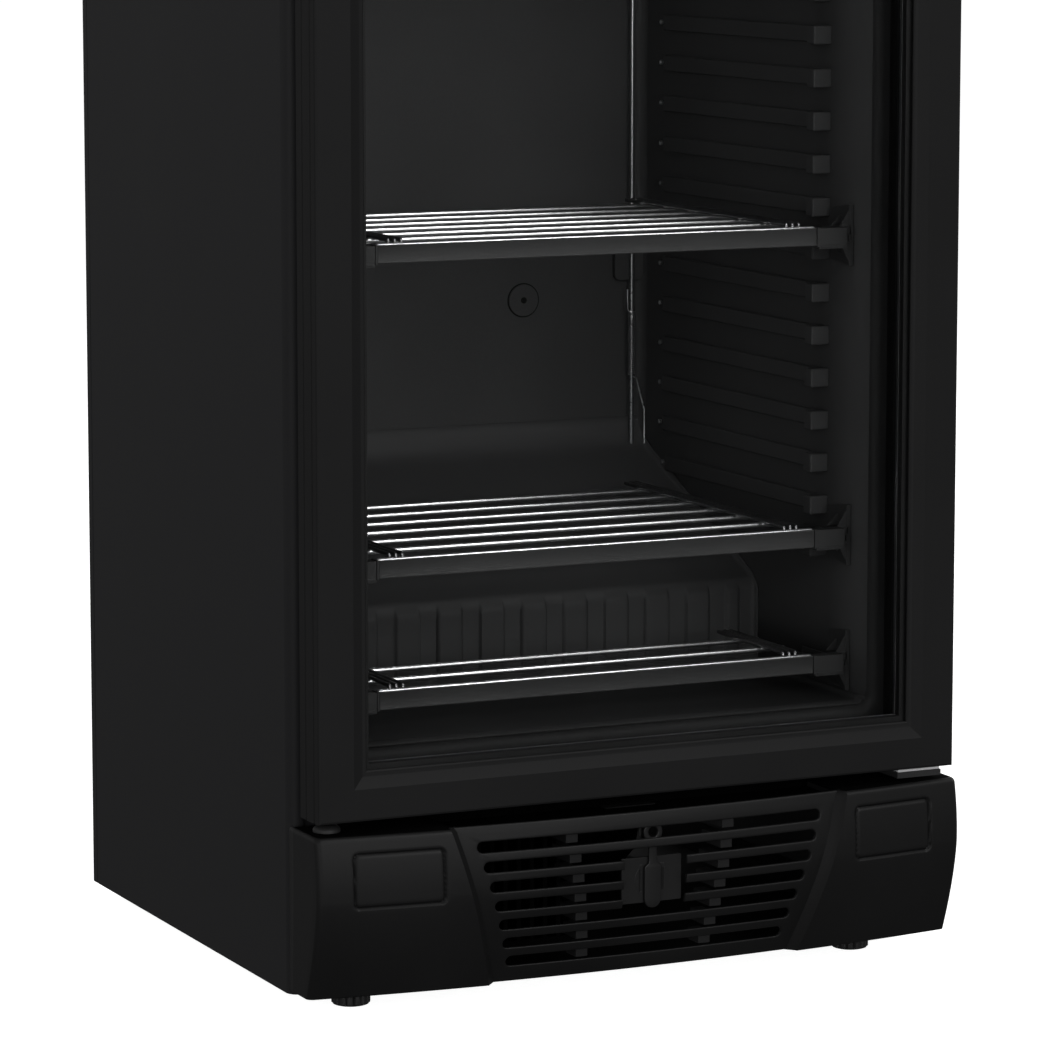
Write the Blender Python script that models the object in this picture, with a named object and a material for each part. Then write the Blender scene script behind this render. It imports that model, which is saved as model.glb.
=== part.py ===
"""Single glass door merchandiser: an upright refrigerated cabinet with a hinged double-glazed door.

Metres, +Z up, +Y towards the back. The origin is on the floor, under the middle of the whole object.
Depths are measured back from the door's front face with back().
"""

import math

import bmesh
import bpy

# Whole cabinet
HALF_WIDTH = 0.2975
HEIGHT = 1.980
DOOR_FACE_Y = -0.266
SHELL_FRONT = 0.063
SHELL_REAR = 0.542
SPACER_REAR = 0.5533
SHELL_BOTTOM = 0.0151
SHELL_INNER_X = 0.2533
SHELL_CORNER_RADIUS = 0.011
REBATE_X = 0.2850
BACK_PANEL_FRONT = 0.5133
BACK_PANEL_BOTTOM = 0.360
BACK_PAD_WIDTH = 0.040
BACK_PAD_RIGHT_EDGES = (0.200, -0.160)
TOP_PANEL_HALF = 0.2530
TOP_PANEL_REAR = 0.5130
HEADER_BOTTOM = 1.890
HEADER_SHEET = 0.003
GAP = 0.0003

# Insulated compartment
LINER_HALF = 0.250
LINER_SHEET = 0.003
LINER_FRONT = 0.0673
LINER_BACK = 0.510
LINER_BACK_BOTTOM = 0.400
FLOOR_TOP = 0.2175
CEILING = 1.9317
OPENING_TOP = 1.842
DECK_UNDER = 0.1715
STEP_FRONT = 0.276
STEP_PAD_PITCH = 0.041
STEP_PAD_WIDTH = 0.0225
STEP_PADS = 11
STEP_PAD_RISE = 0.003
STEP_PAD_LOW = 0.232
STEP_PAD_HIGH = 0.285
SLOPE_START = (0.287, 0.3005)
SLOPE_END = (0.5097, 0.398)

# Moulded runners for the shelves
RUNNER_INNER = 0.2325
RUNNER_FRONT = 0.1425
RUNNER_REAR = 0.460
RUNNER_HEIGHT = 0.0166
RUNNER_PITCH = 0.0376
RUNNER_LOWEST = 0.3464
RUNNER_COUNT = 34
RUNNER_REAR_CLEARANCE = 0.005
LEDGE_CENTRE = 0.2353
LEDGE_INNER = 0.2380
LEDGE_REAR = 0.176
LEDGE_DROP = 0.004

# Door
DOOR_BOTTOM = 0.1708
DOOR_TOP = 1.876
DOOR_DEPTH = 0.040
DOOR_STILE = 0.045
DOOR_RAIL = 0.0422
PIVOT_X = 0.2775
PIVOT_BACK = 0.020
PIN_RADIUS = 0.005
BORE_RADIUS = 0.006
PIN_LENGTH = 0.023
BORE_DEPTH = 0.024
FACE_SHARE = 0.698
BEVEL_DEPTH = 0.005
GROOVE_SHARE = 0.77
GROOVE_FRONT = 0.0057
GROOVE_REAR = 0.0263
REAR_LIP_SHARE = 0.9
REAR_LIP_DEPTH = 0.031
GLASS_HALF = 0.2624
GLASS_BOTTOM = 0.2037
GLASS_TOP = 1.8431
GLASS_SHEET = 0.004
OUTER_GLASS_FRONT = 0.006
INNER_GLASS_FRONT = 0.022
SPACER_OUTER = (0.2615, 0.2046, 1.8422)
SPACER_INNER = (0.2490, 0.2166, 1.8302)
GASKET_OUTER = (0.277, 0.192, 1.857)
GASKET_INNER = (0.262, 0.207, 1.842)
GASKET_REAR = 0.0627
GASKET_WAIST = 0.045
GASKET_BULB = 0.050

# Hinge brackets
BRACKET_INNER_X = 0.247
BRACKET_OUTER_X = 0.290
BRACKET_FRONT = 0.008
BRACKET_SHEET = 0.005
BOTTOM_BRACKET_Z = 0.162
BOTTOM_BRACKET_REAR = 0.0985
BRACKET_TAIL = [(0.2525, 0.0985), (0.2525, 0.130), (0.215, 0.130), (0.215, 0.075), (0.247, 0.065)]
TOP_BRACKET_Z = 1.880
HOLE_CAP_PLACE = (-0.2805, 0.025)
HOLE_CAP_RADIUS = 0.0115
HOLE_CAP_TOP = 0.167

# Kick panel below the door
KICK_HALF = 0.3011
KICK_TOP = 0.160
KICK_BOTTOM = 0.022
KICK_REAR = 0.055
KICK_BOW = 0.0287
KICK_ARC_RADIUS = 2.01
KICK_WALL = 0.0022
GRILLE_RECESS = 0.009
SEAM_BOTTOM_X = 0.1455
SEAM_SLOPE = 0.292
SLOT_TOP_Z = 0.142
SLOT_PITCH = 0.01685
SLOT_COUNT = 7
SLOT_HEIGHT = 0.0092
SLOT_TOP_END = 0.1607
SLOT_BOTTOM_END = 0.1299
WINDOW_HALF = 0.0305
WINDOW_LOW = 0.0784
WINDOW_HIGH = 0.1240
RIB_X = 0.0518
RIB_SLOPE = 0.1525
RIB_HALF_WIDTH = 0.005
RIB_LOW = 0.030
RIB_HIGH = 0.152
RIB_REAR = 0.010

# Latch behind the grille
LATCH_AXIS_Z = 0.1005
LATCH_HALF = 0.028
LATCH_LOW = 0.0813
LATCH_HIGH = 0.1203
LATCH_FACE = -0.0107
LEVER_FACE = -0.0136
LEVER_SHEET = 0.0026
LATCH_SHEET = 0.003
BOSS_RADIUS = 0.014
EYE_Z = 0.1416
EYE_RADIUS = 0.0088
EYE_HOLE_RADIUS = 0.004
STEM_HALF = 0.0037
PADDLE_HALF = 0.0077
PADDLE_TOP = 0.112
PADDLE_ROUND_Z = 0.0845

# Shelves: rail height above the runner that carries each one
SHELF_HALF = 0.206
SHELF_RAIL_FRONT = 0.086
SHELF_RAIL_HEIGHT = 0.0157
SHELF_WIRE = 0.0045
SHELF_WIRE_PITCH = 0.048
SHELF_FIRST_WIRE = 0.0905
SHELF_LIFT = 0.0094
SHELF_REAR = 0.405
SHORT_SHELF_REAR = 0.217
SHELF_SIDE_WIRES = (0.181, 0.187, 0.193)
RAIL_LIP = 0.010
RAIL_LIP_SHEET = 0.0014
RAIL_SHEET = 0.0016
BRACKET_ARM_X = 0.2460
BRACKET_ARM_REAR = 0.176
PLATE_DROP = 0.0200
PLATE_RISE = 0.0337
SHELF_RUNNERS = (-1, 0, 7, 15, 24)

# Fittings of the rear corner and the back wall
ROD_PLACE = (0.2338, 0.500)
ROD_RADIUS = 0.0015
ROD_BOTTOM = 0.397
SPRING_OUTER = 0.0033
SPRING_INNER = 0.0019
SPRING_LOW = 0.464
SPRING_HIGH = 0.524
PLUG_PLACE = (0.125, 0.538)
PLUG_RADIUS = 0.015

# Feet
FOOT_X = 0.2385
FOOT_FRONT = 0.075
FOOT_REAR = 0.480
FOOT_RADIUS = 0.0165
FOOT_HEIGHT = 0.013
STEM_RADIUS = 0.004
STEM_TOP = 0.032

# Machinery
TRAY_BOTTOM = 0.018
TRAY_SHEET = 0.002
TRAY_HALF = 0.2525
TRAY_LIP = 0.050
COMPRESSOR_X = 0.120
COMPRESSOR_BACK = 0.420
CONDENSER_FAN_X = -0.110
CONDENSER_FAN_BACK = 0.190
CONDENSER_FAN_Z = 0.094
FAN_BLADES = 5
FAN_HUB_SHARE = 0.32
FAN_HALF_LENGTH = 0.012
FAN_HALF_CHORD = 0.016
FAN_HALF_SHEET = 0.0009
FAN_PITCH = 0.55
EVAPORATOR_FAN_BACK = 0.345
EVAPORATOR_FAN_Z = 1.862
EVAPORATOR_FAN_OPENING = 0.054
COVER_FRONT = 0.300
COVER_REAR = 0.480
COVER_BOTTOM = 1.790
COVER_HALF = 0.220
COVER_SHEET = 0.002
COIL_FINS = 14
COIL_FIN_PITCH = 0.0125
COIL_FIN_GAP = 0.0085


def back(distance):
    """Y of a plane that lies this far behind the door's front face."""
    return DOOR_FACE_Y + distance


def clear_scene():
    for item in list(bpy.data.objects):
        bpy.data.objects.remove(item, do_unlink=True)


def make_material(name, colour, roughness, metallic=0.0, transmission=0.0):
    material = bpy.data.materials.new(name)
    material.use_nodes = True
    shader = material.node_tree.nodes["Principled BSDF"]
    shader.inputs["Base Color"].default_value = (*colour, 1.0)
    shader.inputs["Roughness"].default_value = roughness
    shader.inputs["Metallic"].default_value = metallic
    shader.inputs["Transmission Weight"].default_value = transmission
    return material


def make_materials():
    return {
        "paint": make_material("cabinet_paint", (0.017, 0.017, 0.018), 0.45),
        "door": make_material("door_paint", (0.015, 0.015, 0.016), 0.38),
        "liner": make_material("liner_plastic", (0.018, 0.018, 0.018), 0.50),
        "kick": make_material("kick_plastic", (0.010, 0.010, 0.010), 0.42),
        "shelf": make_material("shelf_plastic", (0.022, 0.022, 0.022), 0.45),
        "chrome": make_material("chrome_wire", (0.80, 0.80, 0.80), 0.10, 1.0),
        "glass": make_material("clear_glass", (0.95, 0.97, 0.96), 0.02, 0.0, 1.0),
        "rubber": make_material("seal_rubber", (0.008, 0.008, 0.008), 0.70),
        "spacer": make_material("spacer_plastic", (0.015, 0.015, 0.015), 0.50),
        "steel": make_material("bracket_steel", (0.05, 0.05, 0.05), 0.40, 0.6),
        "rod": make_material("bright_steel", (0.70, 0.70, 0.70), 0.22, 1.0),
        "zinc": make_material("galvanised_sheet", (0.42, 0.43, 0.44), 0.45, 1.0),
        "foot": make_material("foot_plastic", (0.015, 0.015, 0.015), 0.55),
        "cap": make_material("cap_plastic", (0.35, 0.35, 0.34), 0.50),
        "machine": make_material("compressor_paint", (0.012, 0.012, 0.012), 0.35),
        "coil": make_material("coil_enamel", (0.012, 0.012, 0.012), 0.45),
        "tray": make_material("tray_paint", (0.014, 0.014, 0.014), 0.50),
        "fan": make_material("fan_plastic", (0.03, 0.03, 0.03), 0.50),
        "lamp": make_material("lamp_lens", (0.85, 0.85, 0.83), 0.40),
    }


def finish(name, bm, material, smooth=False):
    """Turns the bmesh into a named object with its faces pointing out."""
    bmesh.ops.recalc_face_normals(bm, faces=bm.faces)
    mesh = bpy.data.meshes.new(name)
    bm.to_mesh(mesh)
    bm.free()
    if material:
        mesh.materials.append(material)
    if smooth:
        mesh.shade_smooth()
        mesh.set_sharp_from_angle(angle=math.radians(35))
    item = bpy.data.objects.new(name, mesh)
    bpy.context.scene.collection.objects.link(item)
    return item


def place(axis, a, b, along):
    """A point of an outline that is drawn across the given axis."""
    if axis == "X":
        return (along, a, b)
    if axis == "Y":
        return (a, along, b)
    return (a, b, along)


def add_prism(bm, outline, axis, low, high):
    """A closed outline, extruded along an axis between two planes."""
    first = [bm.verts.new(place(axis, a, b, low)) for a, b in outline]
    second = [bm.verts.new(place(axis, a, b, high)) for a, b in outline]
    bm.faces.new(first)
    bm.faces.new(second)
    for i in range(len(outline)):
        j = (i + 1) % len(outline)
        bm.faces.new((first[i], first[j], second[j], second[i]))


def add_block(bm, x, y, z):
    """A block between pairs of planes; y is measured back from the door's face."""
    outline = [(x[0], back(y[0])), (x[1], back(y[0])), (x[1], back(y[1])), (x[0], back(y[1]))]
    add_prism(bm, outline, "Z", z[0], z[1])


def circle(centre, radius, segments):
    steps = [2 * math.pi * i / segments for i in range(segments)]
    return [(centre[0] + radius * math.cos(s), centre[1] + radius * math.sin(s)) for s in steps]


def arc(centre, radius, start, end, segments):
    """Points on an arc, angles in degrees, both ends included."""
    steps = [math.radians(start + (end - start) * i / segments) for i in range(segments + 1)]
    return [(centre[0] + radius * math.cos(s), centre[1] + radius * math.sin(s)) for s in steps]


def add_lathe(bm, centre, profile, segments):
    """A profile of (radius, height) turned about a vertical axis; it starts and ends on the axis."""
    low = bm.verts.new((*centre, profile[0][1]))
    high = bm.verts.new((*centre, profile[-1][1]))
    rings = []
    for radius, height in profile[1:-1]:
        rings.append([bm.verts.new((x, y, height)) for x, y in circle(centre, radius, segments)])
    for i in range(segments):
        j = (i + 1) % segments
        bm.faces.new((low, rings[0][i], rings[0][j]))
        bm.faces.new((high, rings[-1][i], rings[-1][j]))
        for lower, upper in zip(rings, rings[1:]):
            bm.faces.new((lower[i], lower[j], upper[j], upper[i]))


def add_frame(bm, outer, inner, section):
    """A mitred rectangular frame.

    outer and inner are (half width, bottom, top). The closed section holds (share, depth) points, where
    share runs from 0 at the outer rectangle to 1 at the inner one and depth is behind the door's face.
    """
    corners = []
    for side, level in ((-1, 1), (1, 1), (1, 2), (-1, 2)):
        ring = []
        for share, depth in section:
            x = side * (outer[0] + share * (inner[0] - outer[0]))
            z = outer[level] + share * (inner[level] - outer[level])
            ring.append(bm.verts.new((x, back(depth), z)))
        corners.append(ring)
    for i in range(4):
        here = corners[i]
        there = corners[(i + 1) % 4]
        for j in range(len(section)):
            k = (j + 1) % len(section)
            bm.faces.new((here[j], here[k], there[k], there[j]))


def combine(target, other, operation):
    """Cuts or joins another closed solid, which stays out of the model itself."""
    other.hide_render = True
    other.display_type = "WIRE"
    modifier = target.modifiers.new(other.name, "BOOLEAN")
    modifier.operation = operation
    modifier.solver = "EXACT"
    modifier.object = other


def block(name, x, y, z, material):
    bm = bmesh.new()
    add_block(bm, x, y, z)
    return finish(name, bm, material)


def side_panel(name, side, material):
    """Foam-filled steel side with a rounded front corner and a rebate for the breaker frame."""
    r = SHELL_CORNER_RADIUS
    outline = [(SHELL_INNER_X, back(LINER_FRONT)), (REBATE_X, back(LINER_FRONT)), (REBATE_X, back(SHELL_FRONT))]
    outline += arc((HALF_WIDTH - r, back(SHELL_FRONT + r)), r, -90, 0, 5)
    outline += [(HALF_WIDTH, back(SHELL_REAR)), (SHELL_INNER_X, back(SHELL_REAR))]
    bm = bmesh.new()
    add_prism(bm, [(side * x, y) for x, y in outline], "Z", SHELL_BOTTOM, HEIGHT)
    return finish(name, bm, material)


def notch_hinge_side(panel):
    """Room for the bottom hinge bracket at the lower front corner."""
    bm = bmesh.new()
    add_block(bm, (0.250, 0.300), (0.055, BOTTOM_BRACKET_REAR + 0.0005), (0.158, DECK_UNDER))
    combine(panel, finish("hinge_notch_cutter", bm, None), "DIFFERENCE")


def rear_panel(material):
    """Back of the cabinet, with two vertical pads that keep it clear of a wall."""
    half = TOP_PANEL_HALF
    outline = [(-half, back(BACK_PANEL_FRONT)), (half, back(BACK_PANEL_FRONT)), (half, back(SHELL_REAR))]
    for x in BACK_PAD_RIGHT_EDGES:
        outline += [(x, back(SHELL_REAR)), (x, back(SPACER_REAR))]
        outline += [(x - BACK_PAD_WIDTH, back(SPACER_REAR)), (x - BACK_PAD_WIDTH, back(SHELL_REAR))]
    outline += [(-half, back(SHELL_REAR))]
    bm = bmesh.new()
    add_prism(bm, outline, "Z", BACK_PANEL_BOTTOM, HEIGHT)
    return finish("back_panel", bm, material)


def slope_back(z):
    """Depth at which the sloping top of the floor's step reaches a height."""
    share = (z - SLOPE_START[1]) / (SLOPE_END[1] - SLOPE_START[1])
    return SLOPE_START[0] + share * (SLOPE_END[0] - SLOPE_START[0])


def liner_wall(name, side, material):
    """Side wall of the compartment with the runners moulded into it."""
    bm = bmesh.new()
    x = sorted((side * LINER_HALF, side * (LINER_HALF + LINER_SHEET)))
    add_block(bm, x, (LINER_FRONT, LINER_BACK + LINER_SHEET), (DECK_UNDER, CEILING + LINER_SHEET))
    wall = finish(name, bm, material)
    bm = bmesh.new()
    half = RUNNER_HEIGHT / 2
    x = sorted((side * RUNNER_INNER, side * (LINER_HALF + 0.001)))
    for i in range(RUNNER_COUNT):
        z = RUNNER_LOWEST + i * RUNNER_PITCH
        rear = min(RUNNER_REAR, slope_back(z - half) - RUNNER_REAR_CLEARANCE)
        add_block(bm, x, (RUNNER_FRONT, rear), (z - half, z + half))
    x = sorted((side * LEDGE_INNER, side * (LINER_HALF + 0.001)))
    add_block(bm, x, (RUNNER_FRONT + 0.002, LEDGE_REAR), (LEDGE_CENTRE - LEDGE_DROP, LEDGE_CENTRE + half))
    combine(wall, finish(name + "_runners", bm, material), "UNION")
    return wall


def liner_floor(material):
    """Compartment floor that steps up over the machinery, with ribbed pads on the step's face."""
    top = [(LINER_FRONT, FLOOR_TOP), (0.270, FLOOR_TOP), (STEP_FRONT, 0.2235), (STEP_FRONT, 0.288)]
    top += [(0.279, 0.296), SLOPE_START, SLOPE_END]
    under = [(0.5097, 0.3947), (0.288, 0.2973), (0.2812, 0.294), (0.279, 0.2875)]
    under += [(0.279, 0.2222), (0.2713, 0.2145), (LINER_FRONT, 0.2145)]
    half = LINER_HALF - GAP
    bm = bmesh.new()
    add_prism(bm, [(back(y), z) for y, z in top + under], "X", -half, half)
    floor = finish("liner_floor", bm, material)
    bm = bmesh.new()
    for i in range(STEP_PADS):
        x = (i - (STEP_PADS - 1) / 2) * STEP_PAD_PITCH
        half = STEP_PAD_WIDTH / 2
        y = (STEP_FRONT - STEP_PAD_RISE, STEP_FRONT + 0.001)
        add_block(bm, (x - half, x + half), y, (STEP_PAD_LOW, STEP_PAD_HIGH))
    combine(floor, finish("liner_floor_pads", bm, material), "UNION")
    return floor


def insulated_deck(material):
    """Foam deck under the compartment floor, stepped to make room for the compressor."""
    outline = [(LINER_FRONT, 0.2142), (0.2715, 0.2142), (0.2800, 0.2227), (0.2800, 0.2860)]
    outline += [(0.2825, 0.2925), (0.2885, 0.2965), (0.5097, 0.3940), (0.5127, 0.3940)]
    outline += [(0.5127, 0.3555), (0.3180, 0.2620), (0.3180, DECK_UNDER), (LINER_FRONT, DECK_UNDER)]
    bm = bmesh.new()
    half = LINER_HALF - GAP
    add_prism(bm, [(back(y), z) for y, z in outline], "X", -half, half)
    return finish("insulated_deck", bm, material)


def compartment(liner, zinc, paint, door_paint):
    """Everything that makes the box: outer sheets, liner, deck and the front trim."""
    side_panel("left_side_panel", -1, paint)
    notch_hinge_side(side_panel("right_side_panel", 1, paint))
    rear_panel(paint)
    liner_top = CEILING + LINER_SHEET
    width = (-TOP_PANEL_HALF, TOP_PANEL_HALF)
    block("top_panel", width, (SHELL_FRONT, TOP_PANEL_REAR), (liner_top + GAP, HEIGHT), paint)
    liner_wall("liner_left_wall", -1, liner)
    liner_wall("liner_right_wall", 1, liner)
    half = LINER_HALF - GAP
    depth = (LINER_BACK, LINER_BACK + LINER_SHEET)
    block("liner_back_wall", (-half, half), depth, (LINER_BACK_BOTTOM, liner_top), liner)
    block("liner_ceiling", (-half, half), (LINER_FRONT, LINER_BACK - GAP), (CEILING, liner_top), liner)
    liner_floor(liner)
    insulated_deck(zinc)
    bm = bmesh.new()
    outer = (REBATE_X - GAP, DECK_UNDER, liner_top)
    inner = (LINER_HALF, FLOOR_TOP, OPENING_TOP)
    section = [(0, SHELL_FRONT), (1, SHELL_FRONT), (1, LINER_FRONT - GAP), (0, LINER_FRONT - GAP)]
    add_frame(bm, outer, inner, section)
    finish("breaker_frame", bm, liner)
    header_fascia(door_paint)


def header_fascia(material):
    """Plain panel above the door: a shell that is open at the back."""
    width = (-HALF_WIDTH, HALF_WIDTH)
    header = block("header_fascia", width, (0, SHELL_FRONT - GAP), (HEADER_BOTTOM, HEIGHT), material)
    half = HALF_WIDTH - HEADER_SHEET
    bm = bmesh.new()
    z = (HEADER_BOTTOM + HEADER_SHEET, HEIGHT - HEADER_SHEET)
    add_block(bm, (-half, half), (HEADER_SHEET, SHELL_FRONT + 0.010), z)
    combine(header, finish("header_cutter", bm, None), "DIFFERENCE")


def base_tray(material):
    """Steel tray that carries the machinery, with a bore for each foot."""
    half = TRAY_HALF
    inner = TRAY_HALF - TRAY_SHEET
    outline = [(-half, TRAY_BOTTOM), (half, TRAY_BOTTOM), (half, TRAY_LIP), (inner, TRAY_LIP)]
    outline += [(inner, TRAY_BOTTOM + TRAY_SHEET), (-inner, TRAY_BOTTOM + TRAY_SHEET)]
    outline += [(-inner, TRAY_LIP), (-half, TRAY_LIP)]
    bm = bmesh.new()
    add_prism(bm, outline, "Y", back(0.058), back(0.540))
    tray = finish("base_tray", bm, material)
    bm = bmesh.new()
    for x, y in foot_places():
        add_prism(bm, circle((x, back(y)), STEM_RADIUS + 0.0005, 10), "Z", 0.010, 0.030)
    combine(tray, finish("foot_bores_cutter", bm, None), "DIFFERENCE")


def foot_places():
    return [(-FOOT_X, FOOT_FRONT), (FOOT_X, FOOT_FRONT), (-FOOT_X, FOOT_REAR), (FOOT_X, FOOT_REAR)]


def feet(material):
    """Screw-in levelling feet: a fluted foot on a threaded stem."""
    names = ("front_left_foot", "front_right_foot", "rear_left_foot", "rear_right_foot")
    for name, (x, y) in zip(names, foot_places()):
        bm = bmesh.new()
        centre = (x, back(y))
        profile = [(0, 0), (0.0135, 0), (FOOT_RADIUS, 0.002), (FOOT_RADIUS, FOOT_HEIGHT - 0.001)]
        profile += [(0.0155, FOOT_HEIGHT), (STEM_RADIUS, FOOT_HEIGHT), (STEM_RADIUS, STEM_TOP), (0, STEM_TOP)]
        add_lathe(bm, centre, profile, 16)
        finish(name, bm, material, smooth=True)


def door(materials):
    outer = (HALF_WIDTH, DOOR_BOTTOM, DOOR_TOP)
    inner = (HALF_WIDTH - DOOR_STILE, DOOR_BOTTOM + DOOR_RAIL, DOOR_TOP - DOOR_RAIL)
    section = [(0, 0), (FACE_SHARE, 0), (1, BEVEL_DEPTH), (1, GROOVE_FRONT), (GROOVE_SHARE, GROOVE_FRONT)]
    section += [(GROOVE_SHARE, GROOVE_REAR), (1, GROOVE_REAR), (1, REAR_LIP_DEPTH)]
    section += [(REAR_LIP_SHARE, DOOR_DEPTH), (0, DOOR_DEPTH)]
    bm = bmesh.new()
    add_frame(bm, outer, inner, section)
    frame = finish("door_frame", bm, materials["door"])
    bm = bmesh.new()
    pivot = circle((PIVOT_X, back(PIVOT_BACK)), BORE_RADIUS, 16)
    add_prism(bm, pivot, "Z", DOOR_BOTTOM - 0.010, DOOR_BOTTOM + BORE_DEPTH)
    add_prism(bm, pivot, "Z", DOOR_TOP - BORE_DEPTH, DOOR_TOP + 0.010)
    combine(frame, finish("pivot_bores_cutter", bm, None), "DIFFERENCE")
    for name, front in (("outer_glass", OUTER_GLASS_FRONT), ("inner_glass", INNER_GLASS_FRONT)):
        depth = (front, front + GLASS_SHEET)
        block(name, (-GLASS_HALF, GLASS_HALF), depth, (GLASS_BOTTOM, GLASS_TOP), materials["glass"])
    spacer_front = OUTER_GLASS_FRONT + GLASS_SHEET + GAP
    spacer_rear = INNER_GLASS_FRONT - GAP
    bm = bmesh.new()
    section = [(0, spacer_front), (1, spacer_front), (1, spacer_rear), (0, spacer_rear)]
    add_frame(bm, SPACER_OUTER, SPACER_INNER, section)
    finish("glass_spacer", bm, materials["spacer"])
    bm = bmesh.new()
    front = DOOR_DEPTH + GAP
    section = [(0.1, front), (0.9, front), (0.75, GASKET_WAIST), (1, GASKET_BULB)]
    section += [(0.95, GASKET_REAR), (0, GASKET_REAR), (0, GASKET_BULB), (0.25, GASKET_WAIST)]
    add_frame(bm, GASKET_OUTER, GASKET_INNER, section)
    finish("door_gasket", bm, materials["rubber"])


def hinge_brackets(material):
    """Steel plates that hold the door's two pins."""
    plate = [(BRACKET_INNER_X, BRACKET_FRONT), (BRACKET_OUTER_X, BRACKET_FRONT)]
    plate += [(BRACKET_OUTER_X, BOTTOM_BRACKET_REAR)] + BRACKET_TAIL
    pin = circle((PIVOT_X, back(PIVOT_BACK)), PIN_RADIUS, 16)
    top_of_plate = BOTTOM_BRACKET_Z + BRACKET_SHEET
    bm = bmesh.new()
    add_prism(bm, [(x, back(y)) for x, y in plate], "Z", BOTTOM_BRACKET_Z, top_of_plate)
    bottom = finish("bottom_hinge_bracket", bm, material)
    bm = bmesh.new()
    add_prism(bm, pin, "Z", top_of_plate - 0.001, top_of_plate + PIN_LENGTH)
    add_block(bm, (0.2155, 0.2495), (0.104, 0.1295), (top_of_plate - 0.001, DECK_UNDER - GAP))
    combine(bottom, finish("bottom_hinge_pin", bm, material), "UNION")
    x = (BRACKET_INNER_X, BRACKET_OUTER_X)
    z = (TOP_BRACKET_Z, TOP_BRACKET_Z + BRACKET_SHEET)
    top = block("top_hinge_bracket", x, (BRACKET_FRONT, SHELL_FRONT - GAP), z, material)
    bm = bmesh.new()
    add_prism(bm, pin, "Z", TOP_BRACKET_Z - PIN_LENGTH, TOP_BRACKET_Z + 0.001)
    add_block(bm, (0.2480, 0.2890), (0.0590, 0.0620), (TOP_BRACKET_Z + 0.004, HEADER_BOTTOM - 0.0005))
    combine(top, finish("top_hinge_pin", bm, material), "UNION")


def seam_x(z):
    """Where the slanted seam between a wing and the grille runs."""
    return SEAM_BOTTOM_X + (z - KICK_BOTTOM) * SEAM_SLOPE


def kick_front(x, z):
    """Depth of the kick panel's face: bowed across the width and rounded over at top and bottom."""
    depth = x * x / (2 * KICK_ARC_RADIUS) - KICK_BOW
    depth += 0.006 * (max(0.0, z - 0.112) / 0.048) ** 2
    depth += 0.023 * (max(0.0, 0.107 - z) / 0.085) ** 1.48
    return depth


def add_kick_volume(bm, left, right, low, high, inset, rear_depth, columns):
    """Everything behind the panel's face between two edges, moved back and in by inset."""
    levels = [low + (high - low) * i / 12 for i in range(13)]
    grid = []
    for z in levels:
        row = []
        for i in range(columns + 1):
            share = i / columns
            x = left(z) + inset + share * (right(z) - left(z) - 2 * inset)
            row.append(bm.verts.new((x, back(kick_front(x, z) + inset), z)))
        grid.append(row)
    for lower, upper in zip(grid, grid[1:]):
        for i in range(columns):
            bm.faces.new((lower[i], lower[i + 1], upper[i + 1], upper[i]))
    border = grid[0] + [row[-1] for row in grid[1:]]
    border += list(reversed(grid[-1][:-1])) + [row[0] for row in reversed(grid[1:-1])]
    rear = [bm.verts.new((v.co.x, back(rear_depth), v.co.z)) for v in border]
    for i in range(len(border)):
        j = (i + 1) % len(border)
        bm.faces.new((border[i], border[j], rear[j], rear[i]))
    bm.faces.new(rear)


def kick_shell(name, left, right, recess, columns, material):
    """Moulded panel with a top and two sides, open below and behind."""
    bm = bmesh.new()
    add_kick_volume(bm, left, right, KICK_BOTTOM, KICK_TOP, recess, KICK_REAR, columns)
    shell = finish(name, bm, material, smooth=True)
    bm = bmesh.new()
    low = KICK_BOTTOM - 0.010
    inset = recess + KICK_WALL
    add_kick_volume(bm, left, right, low, KICK_TOP - KICK_WALL, inset, KICK_REAR + 0.020, columns)
    combine(shell, finish(name + "_hollow_cutter", bm, None), "DIFFERENCE")
    return shell


def slot_outline(z, end):
    """A horizontal slot with round ends."""
    radius = SLOT_HEIGHT / 2
    right = arc((end - radius, z), radius, -90, 90, 6)
    left = arc((-end + radius, z), radius, 90, 270, 6)
    return right + left


def kick_panel(material):
    kick_shell("kick_left_wing", lambda z: -KICK_HALF, lambda z: -seam_x(z), 0.0, 8, material)
    kick_shell("kick_right_wing", seam_x, lambda z: KICK_HALF, 0.0, 8, material)
    grille = kick_shell("kick_grille", lambda z: -seam_x(z), seam_x, GRILLE_RECESS, 12, material)
    bm = bmesh.new()
    for i in range(SLOT_COUNT):
        share = i / (SLOT_COUNT - 1)
        end = SLOT_TOP_END + share * (SLOT_BOTTOM_END - SLOT_TOP_END)
        outline = slot_outline(SLOT_TOP_Z - i * SLOT_PITCH, end)
        add_prism(bm, outline, "Y", back(-0.040), back(0.040))
    combine(grille, finish("grille_slots_cutter", bm, None), "DIFFERENCE")
    bm = bmesh.new()
    add_block(bm, (-WINDOW_HALF, WINDOW_HALF), (-0.040, 0.040), (WINDOW_LOW, WINDOW_HIGH))
    combine(grille, finish("latch_window_cutter", bm, None), "DIFFERENCE")
    for side in (-1, 1):
        grille_rib(grille, side, material)


def grille_rib(grille, side, material):
    """Upright web behind the bars, leaning with the seams."""
    def middle(z):
        return side * (RIB_X + (z - KICK_BOTTOM) * RIB_SLOPE)

    bm = bmesh.new()
    inset = GRILLE_RECESS + KICK_WALL / 2
    left = lambda z: middle(z) - RIB_HALF_WIDTH - inset
    right = lambda z: middle(z) + RIB_HALF_WIDTH + inset
    add_kick_volume(bm, left, right, RIB_LOW, RIB_HIGH, inset, RIB_REAR, 1)
    combine(grille, finish("grille_rib", bm, material), "UNION")


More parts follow.
